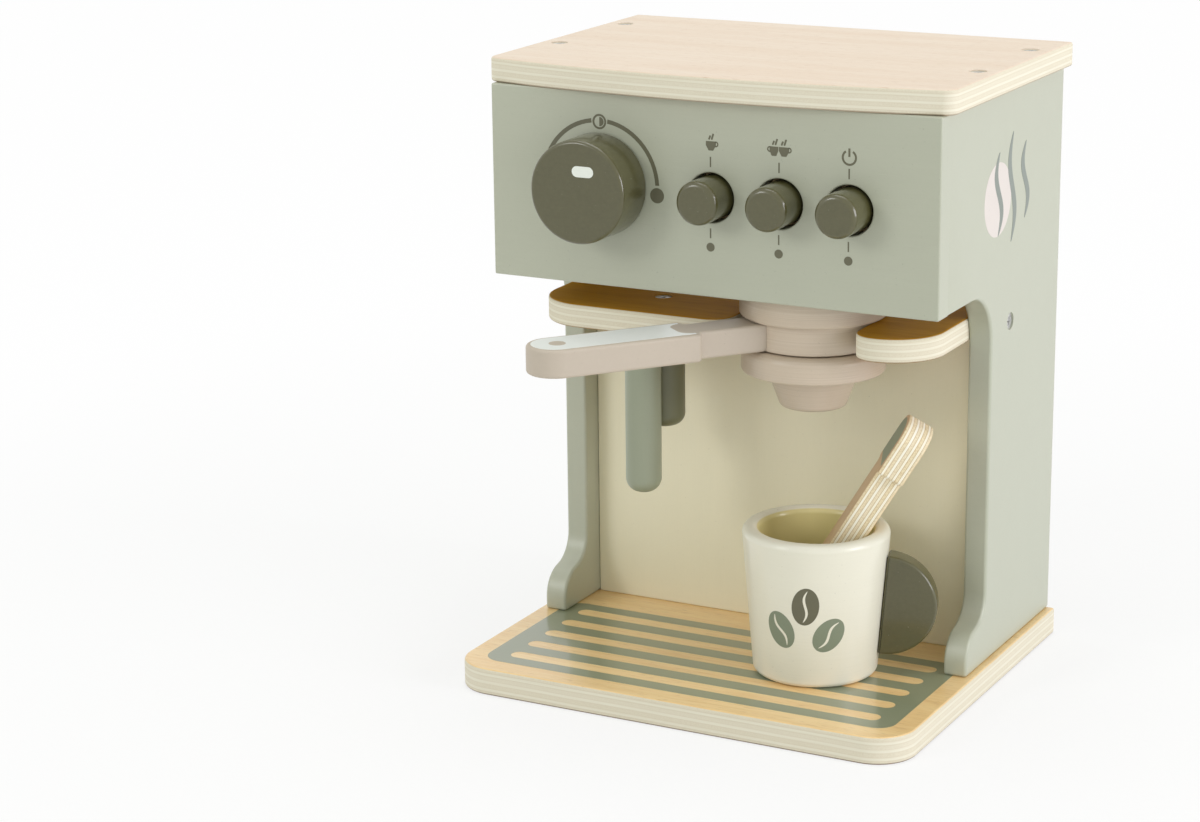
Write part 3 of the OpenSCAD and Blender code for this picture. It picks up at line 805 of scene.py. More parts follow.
@dataclass(frozen=True)
class Paint(Finish):
    """Sprayed paint. Its faint grain runs along the turned X axis."""

    colour: Colour
    roughness: float = 0.45
    variation: float = 0.5
    grain: float = 0.5
    turn: tuple[float, float, float] = (0, 0, 0)
    coat: float = 0.0
    coat_rough: float = 0.12
    speck: float = -0.35
    mottle: float = 0.5
    spread: float = 0.045

    def layer(self, graph: Graph, vector: bpy.types.NodeSocket) -> bpy.types.Node:
        """Places the paint group with this paint's values.

        Args:
            graph: The material's nodes.
            vector: Where the pattern is read.

        Returns:
            The group's node.
        """
        return graph.use(
            paint_group(), Vector=vector, Shade=linear(lighter(self.colour, -self.spread)),
            Tint=linear(lighter(self.colour, self.spread)), Speck=linear(lighter(self.colour, self.speck)),
            Variation=self.variation, Grain=self.grain, Mottle=self.mottle)

    def gloss(self, graph: Graph, shader: bpy.types.Node, change: bpy.types.NodeSocket) -> None:
        """Feeds the shader's roughness and sets its clear coat.

        Args:
            graph: The material's nodes.
            shader: Its shader.
            change: What is added to the paint's roughness.
        """
        graph.feed(shader.inputs["Roughness"], graph.math("ADD", change, self.roughness, clamp=True))
        shader.inputs["Coat Weight"].default_value = self.coat
        shader.inputs["Coat Roughness"].default_value = self.coat_rough

    def paint(self, graph: Graph, shader: bpy.types.Node) -> None:
        """Feeds the shader from the paint group.

        Args:
            graph: The material's nodes.
            shader: Its shader.
        """
        coat = self.layer(graph, graph.place(Vector(), self.turn))
        graph.feed(shader.inputs["Base Color"], coat.outputs["Color"])
        self.gloss(graph, shader, coat.outputs["Rough"])
        self.relief(graph, shader, coat.outputs["Height"], PEEL_DEPTH, 0.5)


@dataclass(frozen=True)
class TurnedPaint(Paint):
    """Paint on a turned piece, with the lathe's fine rings under it."""

    speck: float = -0.4
    spread: float = 0.05
    centre: tuple[float, float, float] = (0, 0, 0)
    rings: float = 0.5
    # Painted shade and warm bounced light: the darker, warmer colour of a hollow piece's inside
    inside: Optional[Colour] = None
    inside_radius: float = 24.5 * MM
    inside_floor: float = 5 * MM

    def hollow(self, graph: Graph, vector: bpy.types.NodeSocket) -> bpy.types.NodeSocket:
        """Masks the inside of a hollow piece, where light that bounces about warms the paint.

        Args:
            graph: The material's nodes.
            vector: A place, measured from the middle of the piece's lower face.

        Returns:
            The mask.
        """
        x, y, z = graph.split(vector)
        out = graph.vector("LENGTH", graph.join(x, y, 0.0))
        near = graph.ease(out, self.inside_radius - 0.5 * MM, self.inside_radius, 1.0, 0.0)
        return graph.math("MULTIPLY", near, graph.math("GREATER_THAN", z, self.inside_floor))

    def paint(self, graph: Graph, shader: bpy.types.Node) -> None:
        """Feeds the shader from the paint and lathe groups.

        Args:
            graph: The material's nodes.
            shader: Its shader.
        """
        vector = graph.place(self.centre, self.turn)
        coat = self.layer(graph, vector)
        lathe = graph.use(lathe_group(), Vector=vector)
        line = graph.math("MULTIPLY", lathe.outputs["Rings"], self.rings)
        light = graph.blend(graph.math("ADD", line, 0.0, clamp=True), coat.outputs["Color"], (1, 1, 1, 1))
        dark = graph.math("MULTIPLY", line, -1.0, clamp=True)
        colour = graph.blend(dark, light, linear(lighter(self.colour, -0.6)))
        # Paints the inside darker and warmer, as painted shade and bounced light
        if self.inside:
            colour = graph.blend(self.hollow(graph, vector), colour, linear(self.inside))
        graph.feed(shader.inputs["Base Color"], colour)
        self.gloss(graph, shader, coat.outputs["Rough"])
        height = graph.math("ADD", coat.outputs["Height"], graph.math("MULTIPLY", line, 2.0))
        self.relief(graph, shader, height, PEEL_DEPTH, 0.5)


@dataclass(frozen=True)
class Plywood(Finish):
    """Lacquered birch plywood. Its depth runs along the turned Z axis from the given place."""

    face: Colour
    face_dark: Colour
    thickness: float
    place: tuple[float, float, float]
    light: Colour = (235, 230, 213)
    middle: Colour = (223, 215, 193)
    dark: Colour = (217, 207, 184)
    glue: Colour = (172, 128, 84)
    glue_share: float = 0.12
    # Strength of the dark lower edge, which is partly laser burn and partly painted contact shade
    scorch: float = 0.35
    layers: float = 7.0
    turn: tuple[float, float, float] = (0, 0, 0)
    roughness: float = 0.42
    shine: float = 0.5
    coat: float = 0.0
    coat_rough: float = 0.18

    def paint(self, graph: Graph, shader: bpy.types.Node) -> None:
        """Feeds the shader from the plywood group.

        Args:
            graph: The material's nodes.
            shader: Its shader.
        """
        ply = graph.use(
            layers_group(), Vector=graph.place(self.place, self.turn), Thickness=self.thickness,
            Layers=self.layers, Face=linear(self.face), Face_dark=linear(self.face_dark),
            Light=linear(self.light), Middle=linear(self.middle), Dark=linear(self.dark),
            Glue=linear(self.glue), Glue_share=self.glue_share, Scorch=self.scorch)
        graph.feed(shader.inputs["Base Color"], ply.outputs["Color"])
        rough = graph.math("ADD", ply.outputs["Rough"], self.roughness, clamp=True)
        graph.feed(shader.inputs["Roughness"], rough)
        shader.inputs["Specular IOR Level"].default_value = self.shine
        graph.feed(shader.inputs["Coat Weight"], graph.math("MULTIPLY", ply.outputs["Veneer"], self.coat))
        shader.inputs["Coat Roughness"].default_value = self.coat_rough
        self.relief(graph, shader, ply.outputs["Height"], PLY_DEPTH, 0.6)


@dataclass(frozen=True)
class PlainWood(Finish):
    """Bare turned or sawn wood, its grain along the turned X axis."""

    light: Colour = (226, 200, 160)
    dark: Colour = (204, 172, 128)
    turn: tuple[float, float, float] = (0, 0, 0)
    roughness: float = 0.6

    def paint(self, graph: Graph, shader: bpy.types.Node) -> None:
        """Feeds the shader from the grain group.

        Args:
            graph: The material's nodes.
            shader: Its shader.
        """
        grain = graph.use(grain_group(), Vector=graph.place(Vector(), self.turn))
        streak = graph.ease(grain.outputs["Streaks"], 0.35, 0.65)
        colour = graph.blend(streak, linear(self.light), linear(self.dark))
        pores = graph.math("MULTIPLY", grain.outputs["Pores"], 0.5)
        graph.feed(shader.inputs["Base Color"], graph.blend(pores, colour, linear(lighter(self.dark, -0.3))))
        rough = graph.math("ADD", graph.math("MULTIPLY", streak, 0.1), self.roughness)
        graph.feed(shader.inputs["Roughness"], rough)
        self.relief(graph, shader, grain.outputs["Height"], GRAIN_DEPTH, 0.6)


@dataclass(frozen=True)
class Metal(Finish):
    """Zinc plated or bare steel, slightly mottled."""

    light: Colour = (216, 216, 213)
    dark: Colour = (182, 182, 180)
    roughness: float = 0.32

    def paint(self, graph: Graph, shader: bpy.types.Node) -> None:
        """Feeds the shader from two noises.

        Args:
            graph: The material's nodes.
            shader: Its shader.
        """
        vector = graph.place(Vector())
        mottle = graph.ease(graph.noise(vector, 700, 3, 0.6), 0.35, 0.65)
        graph.feed(shader.inputs["Base Color"], graph.blend(mottle, linear(self.light), linear(self.dark)))
        shader.inputs["Metallic"].default_value = 1.0
        rough = graph.math("ADD", graph.math("MULTIPLY", mottle, 0.18), self.roughness)
        graph.feed(shader.inputs["Roughness"], rough)
        self.relief(graph, shader, graph.noise(vector, 2500, 2), METAL_DEPTH, 0.3)


# Turn of a finish's axes that makes its grain run upright
GRAIN_UP = (0, math.radians(-90), 0)

SAGE = Paint("SagePaint", "sage_paint", (181, 184, 164), 0.42, 0.55, 0.8, coat=0.8, coat_rough=0.4)
CREAM = Paint("CreamPaint", "cream_paint", (246, 240, 212), 0.45, 0.5, 0.6, GRAIN_UP)
GREY_ROD = Paint("WandPaint", "grey_paint", (150, 156, 134), 0.36, 0.4, 0.5, GRAIN_UP)
OLIVE_ROD = Paint("SpoutPaint", "olive_paint", (117, 118, 91), 0.36, 0.4, 0.5, GRAIN_UP)
OLIVE = Paint(
    "OlivePaint", "olive_paint", (80, 77, 42), 0.3, 0.8, 0.5, coat=0.6, coat_rough=0.1, speck=0.5, mottle=1.4)
TRAY_PRINT = Paint("TrayPrint", "grey_paint", (135, 142, 114), 0.3, 0.4, 0.3, coat=0.7)
DARK_PRINT = Paint("DarkPrint", "olive_paint", (100, 98, 76), 0.42, 0.4, 0.2)
PALE_PRINT = Paint("PalePrint", "cream_paint", (240, 244, 236), 0.42, 0.4, 0.2)
LEVER_PRINT = Paint("LeverPrint", "cream_paint", (246, 249, 247), 0.36, 0.4, 0.2, coat=0.3)
BLUSH_PRINT = Paint("BlushPrint", "taupe_paint", (222, 213, 207), 0.45, 0.4, 0.2)
GREY_PRINT = Paint("GreyPrint", "grey_paint", (134, 141, 134), 0.45, 0.4, 0.2)
GREEN_PRINT = Paint("GreenPrint", "grey_paint", (128, 138, 116), 0.45, 0.4, 0.2)
TAUPE_FLAT = Paint("TaupePaint", "taupe_paint", (197, 184, 168), 0.5, 0.6, 0.5)
ROD_WOOD = PlainWood("RodWood", "birch_rod")
STEEL = Metal("ZincSteel", "steel")
SPRING_STEEL = Metal("SpringSteel", "spring_steel", (190, 190, 190), (140, 140, 140), 0.28)


# ---------------------------------------------------------------- flat prints

# Share of half a width that rounds a stroke's end and still keeps its two corners apart
ROUND_END = 0.995

# Height of a print above its surface: a lone one, and those that lie under or over another
LAYER = 0.05 * MM
UNDER_LAYER = 0.04 * MM
OVER_LAYER = 0.08 * MM
TOP_LAYER = 0.09 * MM


class Print:
    """A thin layer of paint, drawn on the plane of X and Y and then laid on a surface."""

    def __init__(self) -> None:
        """Starts an empty drawing."""
        self.shape = bmesh.new()

    def disc(self, x: float, y: float, radius: float, steps: int = 48) -> list[BMVert]:
        """Draws a filled circle.

        Args:
            x: Centre.
            y: Centre.
            radius: Its radius.
            steps: Number of its corners.

        Returns:
            Its corners.
        """
        made = bmesh.ops.create_circle(
            self.shape, cap_ends=True, segments=steps, radius=radius, matrix=Matrix.Translation((x, y, 0)))
        return made["verts"]

    def band(self, x: float, y: float, radius: float, width: float, start: float, end: float) -> None:
        """Draws an arc with a width.

        Args:
            x: Centre.
            y: Centre.
            radius: Radius of the arc's middle line.
            width: Width of the arc.
            start: First angle in degrees.
            end: Last angle in degrees.
        """
        first = math.radians(start)
        away = Vector((math.cos(first), math.sin(first), 0))
        centre = Vector((x, y, 0))
        pair = [self.shape.verts.new(centre + away * (radius + side * width / 2)) for side in (-1, 1)]
        edge = self.shape.edges.new(pair)
        sweep = math.radians(end - start)
        full = math.isclose(abs(sweep), FULL_TURN, rel_tol=1e-6)
        bmesh.ops.spin(
            self.shape, geom=pair + [edge], cent=centre, axis=(0, 0, 1), dvec=(0, 0, 0), angle=sweep,
            steps=max(8, int(abs(end - start) / 5)), use_merge=full, use_duplicate=False)

    def polygon(self, points: Sequence[tuple], segments: int) -> BMFace:
        """Draws a filled outline.

        Args:
            points: Corners as x, y and, where the corner is rounded, its radius.
            segments: Steps of each rounded corner.

        Returns:
            The face.
        """
        verts = [self.shape.verts.new((point[0], point[1], 0)) for point in points]
        self.shape.faces.new(verts)
        for vert, point in zip(verts, points):
            if len(point) > 2:
                round_corner(self.shape, vert, point[2], segments)
        self.shape.faces.ensure_lookup_table()
        return self.shape.faces[-1]

    def bar(self, start: Point, end: Point, width: float, radius: float = 0.0) -> None:
        """Draws a straight stroke.

        Args:
            start: Its first end.
            end: Its last end.
            width: Its width.
            radius: Rounding of its ends' corners.
        """
        first, last = Vector((*start, 0)), Vector((*end, 0))
        along = (last - first).normalized()
        side = Vector((-along.y, along.x, 0)) * width / 2
        corners = (first - side, last - side, last + side, first + side)
        self.polygon([(co.x, co.y, radius) for co in corners], 5)

    def wave(self, foot: Point, height: float, swing: float, width: float, turns: float) -> None:
        """Draws an upright wavy stroke that tapers at both ends.

        Args:
            foot: Its lower end.
            height: Its height.
            swing: How far it swings to each side.
            width: Its greatest width.
            turns: Number of whole waves.
        """
        made = bmesh.ops.create_grid(self.shape, x_segments=1, y_segments=48, size=0.5)
        blunt_tip = 0.12
        for vert in made["verts"]:
            share = vert.co.y + 0.5
            taper = math.sin(math.pi * min(max(share, 0.0), 1.0)) ** 0.5
            sway = swing * math.sin(FULL_TURN * turns * share)
            vert.co.x = foot[0] + sway + vert.co.x * width * max(taper, blunt_tip)
            vert.co.y = foot[1] + share * height

    def cut_out(self, outlines: Sequence[Sequence[tuple]]) -> None:
        """Draws an outline with holes.

        Args:
            outlines: The outer outline and then its holes, each as for a polygon.
        """
        edges: set[BMEdge] = set()
        for points in outlines:
            face = self.polygon(points, 8)
            edges.update(face.edges)
            bmesh.ops.delete(self.shape, geom=[face], context="FACES_ONLY")
        bmesh.ops.triangle_fill(self.shape, use_beauty=True, use_dissolve=False, edges=list(edges))

    def slice(self, step: float, axis: int) -> None:
        """Cuts the drawing into strips, so that it can follow a curved surface.

        Args:
            step: Width of a strip.
            axis: 0 for strips across X and 1 for strips across Y.
        """
        places = [vert.co[axis] for vert in self.shape.verts]
        cut = math.ceil(min(places) / step) * step
        normal = [0.0, 0.0, 0.0]
        normal[axis] = 1.0
        while cut < max(places):
            spot = [0.0, 0.0, 0.0]
            spot[axis] = cut
            geometry = self.shape.verts[:] + self.shape.edges[:] + self.shape.faces[:]
            bmesh.ops.bisect_plane(self.shape, geom=geometry, dist=MERGE, plane_co=spot, plane_no=normal)
            cut += step

    def solid(self, thickness: float, sunk: float = 0.02 * MM) -> None:
        """Gives the drawing its thickness.

        Args:
            thickness: Height of its face above the surface.
            sunk: Depth of its underside in the surface.
        """
        bmesh.ops.remove_doubles(self.shape, verts=self.shape.verts, dist=MERGE)
        bmesh.ops.recalc_face_normals(self.shape, faces=self.shape.faces)
        made = bmesh.ops.extrude_face_region(self.shape, geom=self.shape.faces[:])
        raised = [item for item in made["geom"] if isinstance(item, BMVert)]
        bmesh.ops.translate(self.shape, verts=raised, vec=(0, 0, thickness + sunk))
        bmesh.ops.translate(self.shape, verts=self.shape.verts, vec=(0, 0, -sunk))

    def lay(self, place: Matrix, name: str, body: str, finish: Finish, thickness: float = LAYER) -> None:
        """Lays the drawing on a flat surface as a piece of its own.

        Args:
            place: Takes the drawing's plane to the surface.
            name: Name of the piece.
            body: CAD body that it rides on.
            finish: Its finish.
            thickness: Thickness of the layer.
        """
        self.solid(thickness)
        bmesh.ops.transform(self.shape, matrix=place, verts=self.shape.verts)
        publish(self.shape, name, body, finish)


def facing_front(y: float) -> Matrix:
    """Takes a drawing to the plane at a depth y, seen from the front: X to the right, Y up."""
    return Matrix.Translation((0, y, 0)) @ Matrix.Rotation(math.pi / 2, 4, "X")


def facing_right(x: float) -> Matrix:
    """Takes a drawing to the plane at x, seen from the right: X to the back, Y up."""
    return Matrix.Translation((x, 0, 0)) @ Matrix.Rotation(math.pi / 2, 4, "Z") @ Matrix.Rotation(
        math.pi / 2, 4, "X")


# ---------------------------------------------------------------- housing


@dataclass
class Housing:
    """The plywood and painted boards, the rods under the shelf, the screws and the prints."""

    board_edge: float = 1.1 * MM
    panel_edge: float = 0.7 * MM
    side_edge: float = 1.3 * MM
    bore_step: float = 0.65 * MM
    short_step: float = 0.3 * MM
    wood_edge: float = 0.5 * MM
    wand_end: float = 6 * MM
    spout_end: float = 5 * MM
    tray_half: float = 92 * MM
    tray_front: float = -77.5 * MM
    tray_back: float = 2.5 * MM
    tray_corner: float = 8 * MM
    slot_left: float = -83 * MM
    slot_right: float = 84 * MM
    slot_width: float = 7 * MM
    slot_pitch: float = 14.78 * MM
    first_slot: float = -66.9 * MM
    slots: int = 5
    dot_place: Point = (13 * MM, 206 * MM)
    dot_radius: float = 15 * MM
    wisp_swing: float = 3.4 * MM
    wisp_width: float = 4.6 * MM

    def build(self) -> None:
        """Builds every piece of the housing."""
        self.boards()
        self.panels()
        self.rods()
        self.inner_wood()
        self.screws()
        self.tray_print()
        self.side_print()

    def on_rim(self, edge: BMEdge) -> bool:
        """Says whether an edge belongs to a board's outline and not to a small bore."""
        return edge.calc_length() > self.bore_step

    def board(self, node: str, finish: Finish, radius: float, seam: Optional[float] = None) -> None:
        """Softens a board's edges and dresses it.

        Args:
            node: Its CAD node.
            finish: Its finish.
            radius: Radius of its edges.
            seam: Depth at which it lies flush against another board, where its edges stay square.
        """
        shape = node_copy(node)
        low = box_of(node).low
        # Slivers in the foremost plane would fold under the rounding, so they are closed first
        short = [edge for edge in shape.edges if edge.calc_length() < self.short_step
                 and all(abs(vert.co.y - low.y) < MERGE for vert in edge.verts)]
        bmesh.ops.collapse(shape, edges=short)

        def open_rim(edge: BMEdge) -> bool:
            """Says whether an edge is rounded."""
            flush = seam is not None and all(abs(vert.co.y - seam) < MERGE for vert in edge.verts)
            return self.on_rim(edge) and not flush

        soften(shape, radius, open_rim, 4)
        publish(shape, node + "_board", body_of(node), finish, [node])

    def ply(self, node: str, name: str, face: Colour, dark: Colour, **changes: object) -> Plywood:
        """Makes the plywood finish of a level board, measured from its lower face.

        Args:
            node: Its CAD node.
            name: Name of the finish.
            face: Colour of its face veneer.
            dark: Colour of the veneer's dark streaks.
            changes: Other values of the finish, by name.

        Returns:
            The finish.
        """
        box = box_of(node)
        return Plywood(
            name, "birch_ply", face=face, face_dark=dark, thickness=box.size.z,
            place=(0.0, 0.0, box.low.z), **changes)

    def boards(self) -> None:
        """Builds the level plywood boards."""
        top = self.ply("top_board", "TopPly", (233, 216, 197), (228, 207, 185))
        # The base gets a strong dark lower edge, partly laser burn and partly painted contact shade
        base = self.ply(
            "base_board", "BasePly", (249, 217, 158), (238, 199, 137), roughness=0.3, coat=0.6, scorch=0.95)
        # Painted shade: the shelf's face colours are a darker, more orange birch than the other boards', for
        # the shade that it lies in under the top board
        shelf = self.ply("shelf", "ShelfPlyShaded", (197, 145, 38), (178, 126, 27), roughness=0.62, shine=0.08)
        self.board("top_board", top, self.board_edge)
        self.board("base_board", base, self.board_edge)
        self.board("shelf", shelf, self.board_edge)

    def panels(self) -> None:
        """Builds the painted upright panels."""
        seam = box_of("front_panel").high.y
        self.board("side_panel_left", SAGE, self.side_edge, seam)
        self.board("side_panel_right", SAGE, self.side_edge, seam)
        self.board("back_panel", CREAM, self.panel_edge)
        self.board("front_panel", SAGE, self.panel_edge, seam)

    def rod(self, node: str, end_radius: float, finish: Finish) -> None:
        """Turns a rod that hangs from the shelf.

        Args:
            node: Its CAD node.
            end_radius: Rounding of its lower end.
            finish: Its finish.
        """
        box = box_of(node)
        radius, length = box.size.x / 2, box.size.z
        shape = turned(
            [Corner(0, 0), Corner(radius, 0), Corner(radius, -length, end_radius, 10), Corner(0, -length)],
            Vector((box.middle.x, box.middle.y, box.high.z)))
        publish(shape, node + "_rod", body_of(node), finish, [node])

    def rods(self) -> None:
        """Builds the steam wand and the water spout."""
        self.rod("steam_wand", self.wand_end, GREY_ROD)
        self.rod("water_spout", self.spout_end, OLIVE_ROD)

    def inner_wood(self) -> None:
        """Dresses the plain wooden pieces behind and inside the boards."""
        for node in ("spring_rail", "click_block"):
            shape = node_copy(node)
            soften(shape, self.wood_edge, self.on_rim)
            publish(shape, node + "_wood", body_of(node), ROD_WOOD, [node])
        for node in ("wand_pin", "panel_pins"):
            dress(node, ROD_WOOD)

    def screws(self) -> None:
        """Builds the wood screws with their cross recesses."""
        for node, axis in (("top_screws", Axis.UP), ("base_screws", Axis.DOWN), ("spout_screw", Axis.UP)):
            shape = bmesh.new()
            for solid in solids_in(node):
                top = solid.high.z if axis is Axis.UP else solid.low.z
                head = Vector((solid.middle.x, solid.middle.y, top))
                add_screw(shape, head, axis, solid.size.x / 2, solid.size.z)
            publish(shape, node + "_set", body_of(node), STEEL, [node])
        shape = bmesh.new()
        for solid in solids_in("side_screws"):
            axis = Axis.RIGHT if solid.middle.x > 0 else Axis.LEFT
            top = solid.high.x if axis is Axis.RIGHT else solid.low.x
            head = Vector((top, solid.middle.y, solid.middle.z))
            add_screw(shape, head, axis, solid.size.z / 2, solid.size.x)
        publish(shape, "side_screws_set", body_of("side_screws"), STEEL, ["side_screws"])

    def tray_print(self) -> None:
        """Prints the drip tray's grid on the base board."""
        tray = Print()
        half, front, back = self.tray_half, self.tray_front, self.tray_back
        corners = ((-half, front), (half, front), (half, back), (-half, back))
        outlines = [[(x, y, self.tray_corner) for x, y in corners]]
        left, right, end = self.slot_left, self.slot_right, self.slot_width / 2 * ROUND_END
        for row in range(self.slots):
            middle = self.first_slot + row * self.slot_pitch
            low, high = middle - self.slot_width / 2, middle + self.slot_width / 2
            outlines.append([(left, low, end), (right, low, end), (right, high, end), (left, high, end)])
        tray.cut_out(outlines)
        top = box_of("base_board").high.z
        tray.lay(Matrix.Translation((0, 0, top)), "tray_print", "housing", TRAY_PRINT)

    def side_print(self) -> None:
        """Prints a round dot and three wisps of steam on the right side panel."""
        x = box_of("side_panel_right").high.x
        dot = Print()
        dot.disc(*self.dot_place, self.dot_radius, 72)
        dot.lay(facing_right(x), "side_print_dot", "housing", BLUSH_PRINT, UNDER_LAYER)
        steam = Print()
        # Depth, foot and height of each wisp in millimetres
        for y, low, height in ((14, 191, 34), (29, 186, 45), (44, 193, 32)):
            steam.wave((y * MM, low * MM), height * MM, self.wisp_swing, self.wisp_width, 1.0)
        steam.lay(facing_right(x), "side_print_steam", "housing", GREY_PRINT, OVER_LAYER)


def dress(node: str, finish: Finish) -> None:
    """Gives a finish to a CAD node that stays as it is.

    Args:
        node: The CAD node.
        finish: Its finish.
    """
    mesh = frame["nodes"][node].data
    mesh.materials.clear()
    mesh.materials.append(finish.material())
    LOG.info("%s: dressed as %s", node, finish.name)


def add_screw(shape: BMesh, head: Vector, axis: Axis, head_radius: float, length: float) -> None:
    """Adds a countersunk screw with a cross recess to a mesh.

    Args:
        shape: The mesh.
        head: Middle of the head's top.
        axis: Direction that the head faces.
        head_radius: Radius of the head.
        length: Length of the screw.
    """
    shank = head_radius / 2
    tip, taper, lip = 0.4 * MM, 4 * MM, 0.15 * MM
    profile = [Corner(0, -length), Corner(tip, -length), Corner(shank, taper - length),
               Corner(shank, shank - head_radius), Corner(head_radius, -lip), Corner(head_radius, 0)]
    screw = turned(profile, Vector(), Axis.UP, 36)
    rim = [edge for edge in screw.edges if edge.is_boundary]
    half_span, half_slot, depth, narrowing = 1.9 * MM, 0.42 * MM, 0.8 * MM, 0.75
    hub = bmesh.ops.create_grid(screw, x_segments=1, y_segments=1, size=half_slot)["verts"][0].link_faces[0]
    arms = [hub]
    for edge in hub.edges[:]:
        away = (edge.verts[0].co + edge.verts[1].co).normalized() * (half_span - half_slot)
        grown = bmesh.ops.extrude_edge_only(screw, edges=[edge])["geom"]
        bmesh.ops.translate(screw, verts=[item for item in grown if isinstance(item, BMVert)], vec=away)
        arms += [item for item in grown if isinstance(item, BMFace)]
    bmesh.ops.recalc_face_normals(screw, faces=arms)
    cross = bmesh.ops.dissolve_faces(screw, faces=arms)["region"][0]
    bmesh.ops.triangle_fill(screw, use_beauty=True, use_dissolve=False, edges=rim + cross.edges[:])
    floor = bmesh.ops.extrude_discrete_faces(screw, faces=[cross])["faces"][0].verts[:]
    bmesh.ops.scale(screw, verts=floor, vec=(narrowing, narrowing, 1.0))
    bmesh.ops.translate(screw, verts=floor, vec=(0, 0, -depth))
    bmesh.ops.transform(screw, matrix=Matrix.Translation(head) @ axis.turn(), verts=screw.verts)
    part = bpy.data.meshes.new("screw_part")
    screw.to_mesh(part)
    screw.free()
    shape.from_mesh(part)
    bpy.data.meshes.remove(part)


# ---------------------------------------------------------------- control panel


@dataclass
class ControlPrint:
    """The dial's scale and the signs by the buttons, printed on the front panel.

    Heights by a button are measured from its axis.
    """

    line: float = 0.85 * MM
    arc_radius: float = 25.8 * MM
    arc_width: float = 1.75 * MM
    dot_radius: float = 3.1 * MM
    tick_width: float = 0.6 * MM
    upper_tick: Point = (12.3 * MM, 16.4 * MM)
    lower_tick: Point = (-16.3 * MM, -12.3 * MM)
    low_dot: float = -19.9 * MM
    low_dot_radius: float = 1.8 * MM
    cup_rim: float = 22.6 * MM
    power_middle: float = 20.7 * MM
    power_radius: float = 2.75 * MM
    wisp_width: float = 0.75 * MM
    wisp_edge: float = 0.3 * MM

    def build(self) -> None:
        """Draws the whole print and lays it on the panel."""
        drawing = Print()
        self.dial_scale(drawing)
        for node, sign in (
            ("button_single", self.one_cup), ("button_double", self.two_cups), ("button_power", self.power),
        ):
            middle = box_of(node).middle
            self.button_lines(drawing, middle.x, middle.z)
            sign(drawing, middle.x, middle.z)
        y = box_of("front_panel").low.y
        drawing.lay(facing_front(y), "panel_print", "housing", DARK_PRINT)

    def dial_scale(self, drawing: Print) -> None:
        """Draws the scale round the dial, with a half-filled disc above it.

        Args:
            drawing: The drawing.
        """
        middle = box_of("dial_knob").middle
        x, z = middle.x, middle.z
        radius, width = self.arc_radius, self.arc_width
        drawing.band(x, z, radius, width, 98.0, 155.0)
        drawing.band(x, z, radius, width, 3.0, 82.0)
        dot_angle = math.radians(-6)
        drawing.disc(x + radius * math.cos(dot_angle), z + radius * math.sin(dot_angle), self.dot_radius)
        sign = z + radius - 0.5 * MM
        drawing.band(x, sign, self.dot_radius - self.line / 2, self.line, 0, 360)
        core = self.dot_radius - self.line * 1.4
        drawing.band(x, sign, core / 2, core, -90, 90)

    def button_lines(self, drawing: Print, x: float, z: float) -> None:
        """Draws the lines above and below a button and the dot under it.

        Args:
            drawing: The drawing.
            x: The button's place across the panel.
            z: Height of its axis.
        """
        for low, high in (self.upper_tick, self.lower_tick):
            drawing.bar((x, z + low), (x, z + high), self.tick_width)
        drawing.disc(x, z + self.low_dot, self.low_dot_radius, 32)

    def cup_sign(self, drawing: Print, x: float, z: float, flip: int, width: float = 4.4) -> None:
        """Draws a small cup with its handle.

        Args:
            drawing: The drawing.
            x: Middle of the cup's rim.
            z: Height of its rim.
            flip: 1 for a handle on the right and -1 for one on the left.
            width: Width of its rim in millimetres.
        """
        half, height, foot = width / 2 * MM, 3.7 * MM, 1.0 * MM
        belly, toe, ear, wire = 1.4 * MM, 0.3 * MM, 0.9 * MM, 0.55 * MM
        bottom, bend = z - height, z - height * 0.45
        points = [(x - half, z), (x - half, bend, belly), (x - foot, bottom, toe),
                  (x + foot, bottom, toe), (x + half, bend, belly), (x + half, z)]
        drawing.polygon(points, 4)
        drawing.band(x + flip * (half - 0.1 * MM), z - 1.1 * MM, ear, wire, 90 - flip * 190, 90 + flip * 10)

    def steam_sign(self, drawing: Print, x: float, z: float) -> None:
        """Draws two short slanted wisps above a cup.

        Args:
            drawing: The drawing.
            x: Middle of the cup's rim.
            z: Height of its rim.
        """
        # Foot and tip of each wisp in millimetres from the middle of the rim
        for foot, tip in (((-0.9, 0.6), (-0.2, 2.3)), ((0.3, 0.6), (1.1, 3.1))):
            ends = [(x + end[0] * MM, z + end[1] * MM) for end in (foot, tip)]
            drawing.bar(*ends, self.wisp_width, self.wisp_edge)

    def one_cup(self, drawing: Print, x: float, z: float) -> None:
        """Draws one steaming cup.

        Args:
            drawing: The drawing.
            x: The button's place across the panel.
            z: Height of its axis.
        """
        middle, top = x + 0.2 * MM, z + self.cup_rim
        self.cup_sign(drawing, middle, top, 1)
        self.steam_sign(drawing, middle, top)

    def two_cups(self, drawing: Print, x: float, z: float) -> None:
        """Draws two steaming cups side by side.

        Args:
            drawing: The drawing.
            x: The button's place across the panel.
            z: Height of its axis.
        """
        top = z + self.cup_rim
        self.cup_sign(drawing, x - 2.2 * MM, top, -1, 3.7)
        self.cup_sign(drawing, x + 2.1 * MM, top, 1)
        for shift in (-1.9, 1.9):
            self.steam_sign(drawing, x + shift * MM, top)

    def power(self, drawing: Print, x: float, z: float) -> None:
        """Draws a ring that is open at the top, with an upright stroke in the gap.

        Args:
            drawing: The drawing.
            x: The button's place across the panel.
            z: Height of its axis.
        """
        middle = z + self.power_middle
        drawing.band(x, middle, self.power_radius, self.line, 122, 418)
        drawing.bar((x, middle + 0.3 * MM), (x, middle + 3.6 * MM), self.line)


